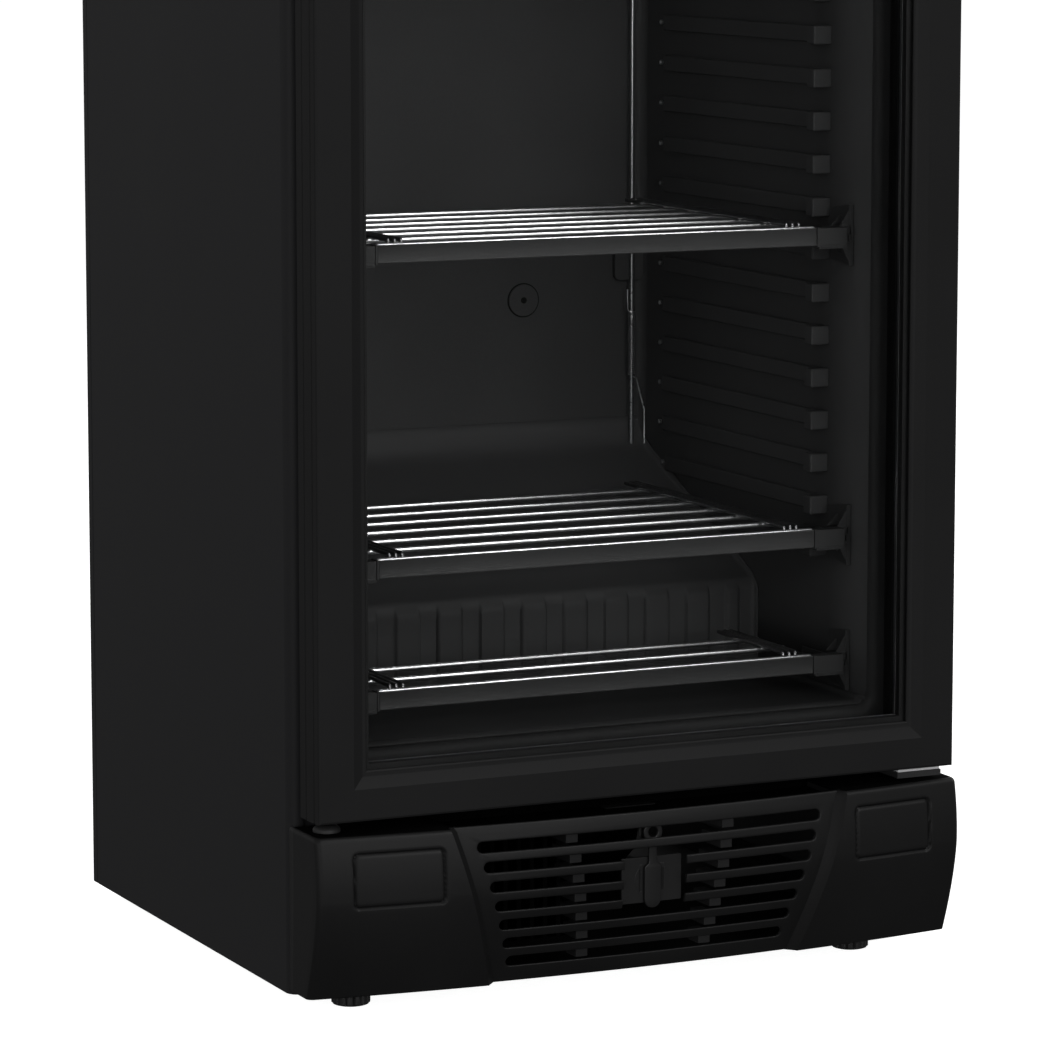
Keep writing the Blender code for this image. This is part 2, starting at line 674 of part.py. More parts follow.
def latch(material):
    """Turn latch that holds the grille: a fixed plate and a lever that turns on it."""
    depth = (LATCH_FACE, LATCH_FACE + LATCH_SHEET)
    plate = block("latch_plate", (-LATCH_HALF, LATCH_HALF), depth, (LATCH_LOW, LATCH_HIGH), material)
    bm = bmesh.new()
    boss = circle((0, LATCH_AXIS_Z), BOSS_RADIUS, 20)
    add_prism(bm, boss, "Y", back(LATCH_FACE + LATCH_SHEET - 0.001), back(0.0030))
    combine(plate, finish("latch_boss", bm, material), "UNION")
    ring = arc((0, EYE_Z), EYE_RADIUS, -65, 245, 14)
    paddle = [(-STEM_HALF, PADDLE_TOP + 0.002), (-PADDLE_HALF, PADDLE_TOP)]
    paddle += arc((0, PADDLE_ROUND_Z), PADDLE_HALF, 180, 360, 8)
    paddle += [(PADDLE_HALF, PADDLE_TOP), (STEM_HALF, PADDLE_TOP + 0.002)]
    bm = bmesh.new()
    add_prism(bm, ring + paddle, "Y", back(LEVER_FACE), back(LEVER_FACE + LEVER_SHEET))
    lever = finish("latch_lever", bm, material)
    bm = bmesh.new()
    add_prism(bm, circle((0, EYE_Z), EYE_HOLE_RADIUS, 12), "Y", back(-0.030), back(0.010))
    combine(lever, finish("lever_eye_cutter", bm, None), "DIFFERENCE")


def shelf_grid(name, top, rear, material):
    """Cross wires with three depth wires laid over them at each side."""
    half = SHELF_WIRE / 2
    rows = int((rear - SHELF_FIRST_WIRE) / SHELF_WIRE_PITCH) + 1
    bm = bmesh.new()
    for i in range(rows):
        y = SHELF_FIRST_WIRE + i * SHELF_WIRE_PITCH
        z = top - SHELF_WIRE * 1.5
        add_prism(bm, circle((back(y), z), half, 6), "X", -SHELF_HALF, SHELF_HALF)
    grid = finish(name, bm, material)
    bm = bmesh.new()
    z = top - SHELF_WIRE * 0.75
    for x in SHELF_SIDE_WIRES:
        for side in (-1, 1):
            wire = circle((side * x, z), half * 0.9, 6)
            add_prism(bm, wire, "Y", back(SHELF_FIRST_WIRE - 0.001), back(rear))
    combine(grid, finish(name + "_depth_wires", bm, material), "UNION")
    return grid


def shelf_rail(name, low, material):
    """Plastic front rail: a face with a lip under the first wire."""
    front = SHELF_RAIL_FRONT
    face = front + RAIL_SHEET
    lip = low + RAIL_LIP_SHEET
    high = low + SHELF_RAIL_HEIGHT
    outline = [(front, low), (front + RAIL_LIP, low), (front + RAIL_LIP, lip)]
    outline += [(face, lip), (face, high), (front, high)]
    bm = bmesh.new()
    add_prism(bm, [(back(y), z) for y, z in outline], "X", -SHELF_HALF, SHELF_HALF)
    return finish(name, bm, material)


def shelf_bracket(name, side, low, material):
    """Plastic end bracket: cap beside the rail, arm on the runner and upright plate at the wall."""
    bm = bmesh.new()
    x = sorted((side * (SHELF_HALF + GAP), side * BRACKET_ARM_X))
    add_block(bm, x, (SHELF_RAIL_FRONT, BRACKET_ARM_REAR), (low - 0.0005, low + 0.0080))
    bracket = finish(name, bm, material)
    bm = bmesh.new()
    x = sorted((side * 0.2075, side * 0.2380))
    y = (SHELF_RAIL_FRONT - 0.0005, SHELF_RAIL_FRONT + 0.0120)
    add_block(bm, x, y, (low - 0.0030, low + SHELF_RAIL_HEIGHT))
    base = low - PLATE_DROP
    peak = low + PLATE_RISE
    outline = [(side * 0.2370, low + 0.0040), (side * 0.2445, base), (side * 0.2490, base)]
    outline += [(side * 0.2490, peak), (side * 0.2445, peak), (side * 0.2370, low + 0.0150)]
    add_prism(bm, outline, "Y", back(SHELF_RAIL_FRONT + 0.0125), back(SHELF_RAIL_FRONT + 0.0480))
    combine(bracket, finish(name + "_plate", bm, material), "UNION")
    return bracket


def shelves(materials):
    for number, runner in enumerate(SHELF_RUNNERS, start=1):
        centre = RUNNER_LOWEST + runner * RUNNER_PITCH
        if runner < 0:
            centre = LEDGE_CENTRE
        low = centre + SHELF_LIFT
        rear = SHORT_SHELF_REAR if runner < 0 else SHELF_REAR
        name = f"shelf_{number}"
        shelf_grid(name + "_wires", low + SHELF_RAIL_HEIGHT - 0.0010, rear, materials["chrome"])
        shelf_rail(name + "_front_rail", low, materials["shelf"])
        shelf_bracket(name + "_left_bracket", -1, low, materials["shelf"])
        shelf_bracket(name + "_right_bracket", 1, low, materials["shelf"])


def corner_fittings(materials):
    """Steel rod in the rear corner with its spring, the clip behind it and the plug in the back wall."""
    rod = (ROD_PLACE[0], back(ROD_PLACE[1]))
    bm = bmesh.new()
    add_prism(bm, circle(rod, ROD_RADIUS, 8), "Z", ROD_BOTTOM, CEILING - GAP)
    finish("corner_rod", bm, materials["rod"], smooth=True)
    bm = bmesh.new()
    outer = circle(rod, SPRING_OUTER, 12)
    inner = circle(rod, SPRING_INNER, 12)
    rings = []
    for outline, z in ((outer, SPRING_LOW), (outer, SPRING_HIGH), (inner, SPRING_HIGH), (inner, SPRING_LOW)):
        rings.append([bm.verts.new((x, y, z)) for x, y in outline])
    for here, there in zip(rings, rings[1:] + rings[:1]):
        for i in range(12):
            j = (i + 1) % 12
            bm.faces.new((here[i], here[j], there[j], there[i]))
    finish("rod_spring", bm, materials["rod"], smooth=True)
    block("rod_clip", (0.2180, 0.2480), (0.5035, LINER_BACK - GAP), (0.553, 0.615), materials["liner"])
    bm = bmesh.new()
    add_prism(bm, circle(PLUG_PLACE, PLUG_RADIUS, 20), "Y", back(0.5075), back(LINER_BACK - GAP))
    finish("wall_plug", bm, materials["liner"])
    bm = bmesh.new()
    centre = (HOLE_CAP_PLACE[0], back(HOLE_CAP_PLACE[1]))
    add_prism(bm, circle(centre, HOLE_CAP_RADIUS, 16), "Z", KICK_TOP + GAP, HOLE_CAP_TOP)
    finish("hinge_hole_cap", bm, materials["cap"], smooth=True)


def fan(name, centre, depth, radius, material):
    """Axial fan facing front to back: a round hub with flat pitched blades."""
    hub_radius = radius * FAN_HUB_SHARE
    bm = bmesh.new()
    hub = circle(centre, hub_radius, 16)
    add_prism(bm, hub, "Y", back(depth - FAN_HALF_LENGTH), back(depth + FAN_HALF_LENGTH))
    hub = finish(name, bm, material)
    for i in range(FAN_BLADES):
        turn = 2 * math.pi * i / FAN_BLADES
        bm = bmesh.new()
        add_blade(bm, centre, depth, turn, hub_radius * 0.7, radius * 0.95)
        combine(hub, finish(name + "_blade", bm, material), "UNION")
    return hub


def add_blade(bm, centre, depth, turn, near, far):
    """One flat blade that leans along the fan's axis."""
    corners = []
    for distance in (near, far):
        for chord in (-FAN_HALF_CHORD, FAN_HALF_CHORD):
            for sheet in (-FAN_HALF_SHEET, FAN_HALF_SHEET):
                x = centre[0] + distance * math.cos(turn) - chord * math.sin(turn)
                z = centre[1] + distance * math.sin(turn) + chord * math.cos(turn)
                corners.append(bm.verts.new((x, back(depth + chord * FAN_PITCH + sheet), z)))
    a, b, c, d, e, f, g, h = corners
    for face in ((a, b, d, c), (e, f, h, g), (a, b, f, e), (c, d, h, g), (a, c, g, e), (b, d, h, f)):
        bm.faces.new(face)


def machinery(materials):
    """Compressor, condenser and its fan on the tray; cooling unit and lamp under the ceiling."""
    profile = [(0, 0.0206), (0.060, 0.0206), (0.072, 0.035), (0.076, 0.060), (0.076, 0.135)]
    profile += [(0.070, 0.165), (0.050, 0.185), (0.022, 0.195), (0, 0.197)]
    bm = bmesh.new()
    add_lathe(bm, (COMPRESSOR_X, back(COMPRESSOR_BACK)), profile, 20)
    finish("compressor", bm, materials["machine"], smooth=True)
    condenser(materials["coil"])
    fan("condenser_fan", (CONDENSER_FAN_X, CONDENSER_FAN_Z), CONDENSER_FAN_BACK, 0.058, materials["fan"])
    evaporator_cover(materials["liner"])
    fan("evaporator_fan", (0.0, EVAPORATOR_FAN_Z), EVAPORATOR_FAN_BACK, 0.050, materials["fan"])
    block("led_lamp", (-0.230, 0.230), (0.072, 0.092), (1.905, CEILING - GAP), materials["lamp"])


def condenser(material):
    """Finned block with its fins cut from the front."""
    coil = block("condenser_coil", (-0.200, -0.020), (0.105, 0.150), (0.0206, 0.1500), material)
    bm = bmesh.new()
    for i in range(COIL_FINS):
        x = -0.192 + i * COIL_FIN_PITCH
        add_block(bm, (x, x + COIL_FIN_GAP), (0.095, 0.135), (0.030, 0.142))
    combine(coil, finish("condenser_fins_cutter", bm, None), "DIFFERENCE")


def evaporator_cover(material):
    """Bent sheet under the ceiling that hides the cooling coil, with a round fan opening."""
    inner = COVER_FRONT + COVER_SHEET
    shelf = COVER_BOTTOM + COVER_SHEET
    outline = [(COVER_FRONT, COVER_BOTTOM), (COVER_REAR, COVER_BOTTOM), (COVER_REAR, shelf)]
    outline += [(inner, shelf), (inner, CEILING - GAP), (COVER_FRONT, CEILING - GAP)]
    bm = bmesh.new()
    add_prism(bm, [(back(y), z) for y, z in outline], "X", -COVER_HALF, COVER_HALF)
    cover = finish("evaporator_cover", bm, material)
    bm = bmesh.new()
    opening = circle((0, EVAPORATOR_FAN_Z), EVAPORATOR_FAN_OPENING, 24)
    add_prism(bm, opening, "Y", back(COVER_FRONT - 0.010), back(COVER_FRONT + 0.010))
    combine(cover, finish("fan_opening_cutter", bm, None), "DIFFERENCE")


def main():
    clear_scene()
    materials = make_materials()
    compartment(materials["liner"], materials["zinc"], materials["paint"], materials["door"])
    base_tray(materials["tray"])
    feet(materials["foot"])
    door(materials)
    hinge_brackets(materials["steel"])
    kick_panel(materials["kick"])
    latch(materials["kick"])
    shelves(materials)
    corner_fittings(materials)
    machinery(materials)


main()
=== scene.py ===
"""Looks of the glass door merchandiser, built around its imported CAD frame. Metres, +Z up, +Y to the back."""

import math

import bmesh
import bpy
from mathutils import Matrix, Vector


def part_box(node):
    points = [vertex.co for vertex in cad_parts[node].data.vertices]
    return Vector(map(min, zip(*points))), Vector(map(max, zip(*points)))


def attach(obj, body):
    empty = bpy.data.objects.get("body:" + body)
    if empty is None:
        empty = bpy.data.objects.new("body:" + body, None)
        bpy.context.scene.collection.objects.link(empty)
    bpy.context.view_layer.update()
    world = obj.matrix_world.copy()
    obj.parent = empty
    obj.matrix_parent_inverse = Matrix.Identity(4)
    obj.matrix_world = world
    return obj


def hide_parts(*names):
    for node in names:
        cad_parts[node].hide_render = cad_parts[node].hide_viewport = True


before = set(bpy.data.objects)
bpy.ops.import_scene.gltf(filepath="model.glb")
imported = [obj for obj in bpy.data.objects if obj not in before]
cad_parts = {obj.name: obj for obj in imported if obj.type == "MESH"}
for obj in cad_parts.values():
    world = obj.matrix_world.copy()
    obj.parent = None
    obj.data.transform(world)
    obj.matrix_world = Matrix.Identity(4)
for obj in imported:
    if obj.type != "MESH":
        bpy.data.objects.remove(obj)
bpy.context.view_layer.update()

DOOR_LOW, DOOR_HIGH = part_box("door_frame")
FACE_Y = DOOR_LOW.y
HALF = DOOR_HIGH.x
KICK_LOW, KICK_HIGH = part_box("kick_left_wing")
KICK_TOP = KICK_HIGH.z
KICK_BOTTOM = KICK_LOW.z
KICK_HALF = -KICK_LOW.x
KICK_REAR = KICK_HIGH.y - FACE_Y
WALL_X = -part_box("liner_left_wall")[0].x - 0.003
REAR_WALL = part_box("liner_back_wall")[0].y - FACE_Y
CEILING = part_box("liner_ceiling")[0].z
FLOOR_TOP = 0.2175
LINER_FRONT = 0.070
TRIM_FRONT = 0.0632
# Depths behind the door's face over which painted light fades into the tub floor's finish.
PAINTED_LIGHT_START = 0.254
PAINTED_LIGHT_END = 0.306
RUNNER_COUNT = 34
RUNNER_LOWEST = 0.3464
RUNNER_PITCH = 0.0376
RUNNER_HALF = 0.0083
SLOT_TOP = 0.142
SLOT_PITCH = 0.01685
SLOT_HALF = 0.0046
LONGEST_SLOT = 0.1607
SHORTEST_SLOT = 0.1299
PLUG_CENTRE = (0.125, 0.538)
ROTOR_CENTRE = (0.0, 0.1005)
WIRE_RADIUS = 0.00225
TIE_RADIUS = 0.0018
WIRE_PITCH = 0.048
DOME_STRENGTH = 0.34
LIGHT = {
    "strip": 90.0,
    "fill": 0.7,
    "front": 64.0,
    "left": 9.0,
    "centre": 80.0,
    "rear": 130.0,
    "right": 60.0,
    "top": 6.0,
}


def back(distance):
    """Y of a plane this far behind the door's front face."""
    return FACE_Y + distance


# -------------------- materials

def new_material(name):
    material = bpy.data.materials.new(name)
    material.use_nodes = True
    return material, material.node_tree, material.node_tree.nodes["Principled BSDF"]


def noise_node(tree, scale, detail):
    """Noise in object space, so that it needs no UVs."""
    coords = tree.nodes.new("ShaderNodeTexCoord")
    texture = tree.nodes.new("ShaderNodeTexNoise")
    texture.inputs["Scale"].default_value = scale
    texture.inputs["Detail"].default_value = detail
    tree.links.new(coords.outputs["Object"], texture.inputs["Vector"])
    return texture.outputs["Fac"]


def spread(tree, value, low, high, start=0.3, end=0.7):
    """Maps a value's range from start to end onto low to high."""
    node = tree.nodes.new("ShaderNodeMapRange")
    node.inputs["From Min"].default_value = start
    node.inputs["From Max"].default_value = end
    node.inputs["To Min"].default_value = low
    node.inputs["To Max"].default_value = high
    tree.links.new(value, node.inputs["Value"])
    return node.outputs["Result"]


def two_tone(tree, value, dark, light):
    ramp = tree.nodes.new("ShaderNodeValToRGB")
    ramp.color_ramp.elements[0].position = 0.35
    ramp.color_ramp.elements[0].color = (*dark, 1)
    ramp.color_ramp.elements[1].position = 0.65
    ramp.color_ramp.elements[1].color = (*light, 1)
    tree.links.new(value, ramp.inputs["Fac"])
    return ramp.outputs["Color"]


def surface(name, dark, light, roughness, grain, relief, metallic=0.0, specular=0.5, painted_light=None):
    """A finish with a fine grain in its relief and a broad drift in its colour and roughness.

    Where a painted-light colour is given, the finish turns into it between two depths behind the door's face,
    as painted light over a shaded stretch.
    """
    material, tree, shader = new_material(name)
    fine = noise_node(tree, grain, 3.0)
    broad = noise_node(tree, 6.0, 4.0)
    mixed = tree.nodes.new("ShaderNodeMath")
    mixed.operation = "MULTIPLY_ADD"
    mixed.inputs[1].default_value = 0.55
    tree.links.new(fine, mixed.inputs[0])
    scaled = spread(tree, broad, 0.0, 0.45, 0.2, 0.8)
    tree.links.new(scaled, mixed.inputs[2])
    colour = two_tone(tree, mixed.outputs[0], dark, light)
    # Painted light: a lighter colour blended in by depth, standing in for light on a shaded stretch.
    if painted_light:
        coords = tree.nodes.new("ShaderNodeTexCoord")
        position = tree.nodes.new("ShaderNodeSeparateXYZ")
        tree.links.new(coords.outputs["Object"], position.inputs["Vector"])
        blend = tree.nodes.new("ShaderNodeMix")
        blend.data_type = "RGBA"
        blend.inputs["B"].default_value = (*painted_light, 1)
        share = spread(tree, position.outputs["Y"], 0.0, 0.9, back(PAINTED_LIGHT_START), back(PAINTED_LIGHT_END))
        tree.links.new(share, blend.inputs["Factor"])
        tree.links.new(colour, blend.inputs["A"])
        colour = blend.outputs["Result"]
    tree.links.new(colour, shader.inputs["Base Color"])
    rough = spread(tree, mixed.outputs[0], roughness - 0.03, roughness + 0.03)
    tree.links.new(rough, shader.inputs["Roughness"])
    shader.inputs["Metallic"].default_value = metallic
    shader.inputs["Specular IOR Level"].default_value = specular
    if relief:
        bump = tree.nodes.new("ShaderNodeBump")
        bump.inputs["Strength"].default_value = 0.6
        bump.inputs["Distance"].default_value = relief
        tree.links.new(fine, bump.inputs["Height"])
        tree.links.new(bump.outputs["Normal"], shader.inputs["Normal"])
    return material


def grey(value):
    """A grey that is slightly cool."""
    return (value, value, value * 1.02)


def glass_material():
    """Clear coated pane: nearly all see-through, with a faint gloss that grows at a grazing view."""
    material, tree, shader = new_material("glass_pane")
    output = tree.nodes["Material Output"]
    shader.inputs["Base Color"].default_value = (0.004, 0.004, 0.004, 1)
    shader.inputs["Specular IOR Level"].default_value = 0.5
    smear = noise_node(tree, 9.0, 5.0)
    rough = spread(tree, smear, 0.01, 0.05)
    tree.links.new(rough, shader.inputs["Roughness"])
    clear = tree.nodes.new("ShaderNodeBsdfTransparent")
    clear.inputs["Color"].default_value = (0.985, 0.987, 0.986, 1)
    fresnel = tree.nodes.new("ShaderNodeFresnel")
    fresnel.inputs["IOR"].default_value = 1.18
    mix = tree.nodes.new("ShaderNodeMixShader")
    tree.links.new(fresnel.outputs["Fac"], mix.inputs["Fac"])
    tree.links.new(clear.outputs["BSDF"], mix.inputs[1])
    tree.links.new(shader.outputs["BSDF"], mix.inputs[2])
    tree.links.new(mix.outputs["Shader"], output.inputs["Surface"])
    return material


DARK_PAINT = (0.0138, 0.0138, 0.0148)
LIGHT_PAINT = (0.0160, 0.0160, 0.0171)
PAINT = surface("paint_cabinet", DARK_PAINT, LIGHT_PAINT, 0.55, 1400, 0.00006, specular=0.18)
DOOR = surface("paint_door", grey(0.0122), grey(0.0146), 0.55, 1500, 0.00005, specular=0.08)
LINING = surface("plastic_liner", grey(0.034), grey(0.044), 0.60, 700, 0.00005, specular=0.20)
TRIM = surface("plastic_trim", grey(0.022), grey(0.030), 0.60, 700, 0.00005, specular=0.12)
# The liner's plastic made darker for the tub floor as painted shade, with painted light blended in from the
# step backwards.
FLOOR_SHADE_AND_LIGHT = surface("plastic_floor_painted_shade_and_light", grey(0.026), grey(0.034), 0.60, 800, 0.00005, specular=0.15, painted_light=grey(0.052))
RUNNER = surface("plastic_runner", grey(0.036), grey(0.046), 0.60, 900, 0.00005, specular=0.20)
KICK = surface("plastic_kick", grey(0.0062), grey(0.0100), 0.48, 1600, 0.00008, specular=0.14)
# Near-black painted shade for the tops of the kick panel in the gap under the door.
SHADE = surface("painted_shade_strip", grey(0.0010), grey(0.0020), 0.90, 900, 0.00010, specular=0.02)
LATCH = surface("plastic_latch", grey(0.0080), grey(0.0120), 0.40, 1200, 0.00005, specular=0.25)
RIB = surface("plastic_rib", grey(0.010), grey(0.015), 0.50, 1200, 0.00004, specular=0.15)
SHELF = surface("plastic_shelf", grey(0.022), grey(0.030), 0.45, 1100, 0.00005, specular=0.30)
# Near-black rubber; the same finish is also used as painted shade in the latch slits and round the wall plug.
RUBBER_AND_SHADE = surface("rubber_and_painted_shade", grey(0.0035), grey(0.0065), 0.75, 500, 0.00010, specular=0.15)
BRACKET = surface("steel_bracket", grey(0.030), grey(0.050), 0.42, 900, 0.00004, specular=0.4, metallic=0.5)
ZINC = surface("zinc_sheet", grey(0.30), grey(0.50), 0.42, 160, 0.00003, metallic=1.0)
FOOT = surface("plastic_foot", grey(0.0090), grey(0.0150), 0.50, 900, 0.00006, specular=0.3)
CAP = surface("plastic_cap", grey(0.012), grey(0.018), 0.50, 900, 0.00005, specular=0.3)
STRIPE = surface("aluminium_stripe", grey(0.16), grey(0.24), 0.35, 700, 0.0, metallic=1.0)
ENAMEL = surface("enamel_compressor", grey(0.0030), grey(0.0045), 0.50, 300, 0.00004, specular=0.06)
# Near-black coil and tray: painted shade for the dark space behind the grille.
FIN_SHADE = surface("fins_painted_shade", grey(0.0016), grey(0.0030), 0.70, 500, 0.00003, specular=0.04)
TRAY_SHADE = surface("tray_painted_shade", grey(0.0040), grey(0.0060), 0.70, 800, 0.00003, specular=0.05)
FAN = surface("plastic_fan", grey(0.0090), grey(0.0140), 0.60, 700, 0.00005, specular=0.10)
# Near-white finish: painted light for the gap under the door.
GAP_LIGHT = surface("pale_gap_light", grey(0.72), grey(0.82), 0.45, 700, 0.00004)
LENS = surface("plastic_lens", grey(0.70), grey(0.80), 0.40, 900, 0.00003)
SPACER = surface("plastic_spacer", grey(0.008), grey(0.014), 0.50, 900, 0.00003, specular=0.2)
CHROME = surface("chrome_wire", grey(0.86), grey(0.96), 0.32, 240, 0.0, metallic=1.0)
# Chrome painted darker than the cross wires: painted shade for the dark interior that the ties reflect.
TIE_PAINTED_DARK = surface("chrome_tie_painted_dark", grey(0.20), grey(0.30), 0.34, 240, 0.0, metallic=1.0)
STEEL = surface("steel_rod", grey(0.84), grey(0.95), 0.30, 400, 0.0, metallic=1.0)
GLASS = glass_material()

# -------------------- mesh helpers


def add_object(name, data):
    item = bpy.data.objects.new(name, data)
    bpy.context.scene.collection.objects.link(item)
    return item


def piece(name, bm, material, body, replaces=(), bevel=0.0, segments=2, sharp=35.0):
    """Turns a bmesh into a piece that rides on a body; sharp is the angle above which an edge stays hard."""
    bmesh.ops.remove_doubles(bm, verts=bm.verts, dist=1e-7)
    bmesh.ops.recalc_face_normals(bm, faces=bm.faces)
    mesh = bpy.data.meshes.new(name)
    bm.to_mesh(mesh)
    bm.free()
    mesh.materials.append(material)
    mesh.shade_smooth()
    mesh.set_sharp_from_angle(angle=math.radians(sharp))
    item = add_object(name, mesh)
    if bevel:
        round_edges(item, bevel, segments)
    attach(item, body)
    if replaces:
        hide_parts(*replaces)
    return item


def round_edges(item, width, segments=2):
    modifier = item.modifiers.new("edges", "BEVEL")
    modifier.width = width
    modifier.segments = segments
    modifier.limit_method = "ANGLE"
    modifier.angle_limit = math.radians(40)
    modifier.harden_normals = True


def thicken(item, thickness, offset):
    modifier = item.modifiers.new("sheet", "SOLIDIFY")
    modifier.thickness = thickness
    modifier.offset = offset


def place(axis, a, b, along):
    """A point that lies along an axis, with the other two coordinates in their usual order."""
    if axis == "X":
        return (along, a, b)
    if axis == "Y":
        return (a, along, b)
    return (a, b, along)


def add_prism(bm, outline, axis, low, high):
    """A closed outline drawn out along an axis from low to high."""
    first = [bm.verts.new(place(axis, a, b, low)) for a, b in outline]
    second = [bm.verts.new(place(axis, a, b, high)) for a, b in outline]
    bm.faces.new(first)
    bm.faces.new(second)
    for i in range(len(outline)):
        j = (i + 1) % len(outline)
        bm.faces.new((first[i], first[j], second[j], second[i]))


def add_block(bm, x, y, z):
    """A block between pairs of planes, with y measured back from the door's face."""
    x = sorted(x)
    outline = [(x[0], back(y[0])), (x[1], back(y[0])), (x[1], back(y[1])), (x[0], back(y[1]))]
    add_prism(bm, outline, "Z", z[0], z[1])


def circle(centre, radius, segments):
    steps = [2 * math.pi * i / segments for i in range(segments)]
    return [(centre[0] + radius * math.cos(s), centre[1] + radius * math.sin(s)) for s in steps]


def arc(centre, radius, start, end, segments):
    steps = [math.radians(start + (end - start) * i / segments) for i in range(segments + 1)]
    return [(centre[0] + radius * math.cos(s), centre[1] + radius * math.sin(s)) for s in steps]


def rounded_rectangle(x0, x1, z0, z1, radius):
    points = arc((x1 - radius, z0 + radius), radius, -90, 0, 6)
    points += arc((x1 - radius, z1 - radius), radius, 0, 90, 6)
    points += arc((x0 + radius, z1 - radius), radius, 90, 180, 6)
    points += arc((x0 + radius, z0 + radius), radius, 180, 270, 6)
    return points


def add_sheet(bm, rows):
    """Faces between rows of vertices that run the same way."""
    for lower, upper in zip(rows, rows[1:]):
        for i in range(len(lower) - 1):
            bm.faces.new((lower[i], lower[i + 1], upper[i + 1], upper[i]))


def add_skin(bm, rings):
    """Faces between rings of vertices, with the first and the last ring closed."""
    for here, there in zip(rings, rings[1:]):
        for k in range(len(here)):
            j = (k + 1) % len(here)
            bm.faces.new((here[k], here[j], there[j], there[k]))
    bm.faces.new(rings[0])
    bm.faces.new(rings[-1])


def ring_round(bm, centre, first, second, radius, segments):
    """A ring of vertices in the plane of two unit vectors."""
    ring = []
    for k in range(segments):
        angle = 2 * math.pi * k / segments
        ring.append(bm.verts.new(centre + (first * math.cos(angle) + second * math.sin(angle)) * radius))
    return ring


def add_tube(bm, path, radius, segments):
    """A round tube along points, with its rings turned to stay in step."""
    points = [Vector(p) for p in path]
    rings = []
    normal = None
    for i, point in enumerate(points):
        before = points[max(i - 1, 0)]
        after = points[min(i + 1, len(points) - 1)]
        tangent = (after - before).normalized()
        if normal is None:
            normal = tangent.orthogonal().normalized()
        normal = (normal - tangent * normal.dot(tangent)).normalized()
        rings.append(ring_round(bm, point, normal, tangent.cross(normal), radius, segments))
    add_skin(bm, rings)


def add_wire(bm, start, end, radius):
    """A straight wire with slightly rounded ends."""
    a = Vector(start)
    b = Vector(end)
    along = (b - a).normalized()
    side = along.orthogonal().normalized()
    other = along.cross(side)
    rounding = [(0.0, 0.55), (0.3 * radius, 0.88), (radius, 1.0)]
    places = [(a + along * distance, share) for distance, share in rounding]
    places += [(b - along * distance, share) for distance, share in reversed(rounding)]
    add_skin(bm, [ring_round(bm, centre, side, other, radius * share, 14) for centre, share in places])


def add_ring(bm, half, low, high, section, radii=None, segments=1):
    """A frame round a rectangle.

    section holds (side inset, rail inset, depth) for each point, and radii the corner radius of each.
    """
    corners = []
    for side, top, start in ((-1, False, 180), (1, False, 270), (1, True, 0), (-1, True, 90)):
        for k in range(segments + 1 if radii else 1):
            angle = math.radians(start + 90 * k / segments) if radii else 0.0
            ring = []
            for i, (across, up, depth) in enumerate(section):
                r = radii[i] if radii else 0.0
                x = side * (half - across - r)
                z = high - up - r if top else low + up + r
                if radii:
                    x += r * math.cos(angle)
                    z += r * math.sin(angle)
                ring.append(bm.verts.new((x, back(depth), z)))
            corners.append(ring)
    count = len(section)
    for i in range(len(corners)):
        here = corners[i]
        there = corners[(i + 1) % len(corners)]
        for j in range(count):
            k = (j + 1) % count
            bm.faces.new((here[j], here[k], there[k], there[j]))


def add_lathe(bm, centre, profile, segments, wobble=None):
    """A profile of (radius, height) turned about a vertical axis that it starts and ends on."""
    low = bm.verts.new((*centre, profile[0][1]))
    high = bm.verts.new((*centre, profile[-1][1]))
    rings = []
    for radius, height in profile[1:-1]:
        ring = []
        for i in range(segments):
            angle = 2 * math.pi * i / segments
            r = radius * (wobble(angle, height) if wobble else 1.0)
            x = centre[0] + r * math.cos(angle)
            y = centre[1] + r * math.sin(angle)
            ring.append(bm.verts.new((x, y, height)))
        rings.append(ring)
    for i in range(segments):
        j = (i + 1) % segments
        bm.faces.new((low, rings[0][i], rings[0][j]))
        bm.faces.new((high, rings[-1][i], rings[-1][j]))
        for lower, upper in zip(rings, rings[1:]):
            bm.faces.new((lower[i], lower[j], upper[j], upper[i]))


def paint_node(name, material, bevel=0.0, segments=2):
    """Keeps a CAD node and gives it a finish, with its edges rounded."""
    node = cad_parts[name]
    node.data.materials.clear()
    node.data.materials.append(material)
    if bevel:
        round_edges(node, bevel, segments)


def cut(item, bm, name, sharp):
    """Takes a closed volume out of a piece and shades the piece again."""
    bmesh.ops.recalc_face_normals(bm, faces=bm.faces)
    mesh = bpy.data.meshes.new(name)
    bm.to_mesh(mesh)
    bm.free()
    cutter = add_object(name, mesh)
    modifier = item.modifiers.new(name, "BOOLEAN")
    modifier.operation = "DIFFERENCE"
    modifier.object = cutter
    modifier.solver = "EXACT"
    bpy.context.view_layer.update()
    graph = bpy.context.evaluated_depsgraph_get()
    made = bpy.data.meshes.new_from_object(item.evaluated_get(graph))
    item.modifiers.remove(modifier)
    old = item.data
    item.data = made
    bpy.data.meshes.remove(old)
    bpy.data.objects.remove(cutter, do_unlink=True)
    made.shade_smooth()
    made.set_sharp_from_angle(angle=math.radians(sharp))


# -------------------- cabinet


def side_sheet(node, side):
    """Painted side with a rolled front edge and a hemmed back edge."""
    low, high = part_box(node)
    inner = 0.2533
    flange = 0.2850
    roll = 0.011
    hem = HALF - 0.0008
    rear = back(0.542)
    outline = [(inner, back(0.0673)), (flange, back(0.0673)), (flange, back(TRIM_FRONT))]
    outline += arc((HALF - roll, back(0.074)), roll, -90, 0, 14)
    outline += [(HALF, back(0.530)), (hem, back(0.5308)), (hem, back(0.5316)), (HALF, back(0.5324))]
    outline += [(HALF, rear), (inner, rear)]
    bm = bmesh.new()
    add_prism(bm, [(side * x, y) for x, y in outline], "Z", low.z, high.z)
    item = piece(node + "_sheet", bm, PAINT, "cabinet", [node], sharp=30)
    if side > 0:
        bm = bmesh.new()
        add_block(bm, (0.250, 0.300), (0.055, 0.099), (0.158, 0.1715))
        cut(item, bm, "notch", 30)
    round_edges(item, 0.0008)


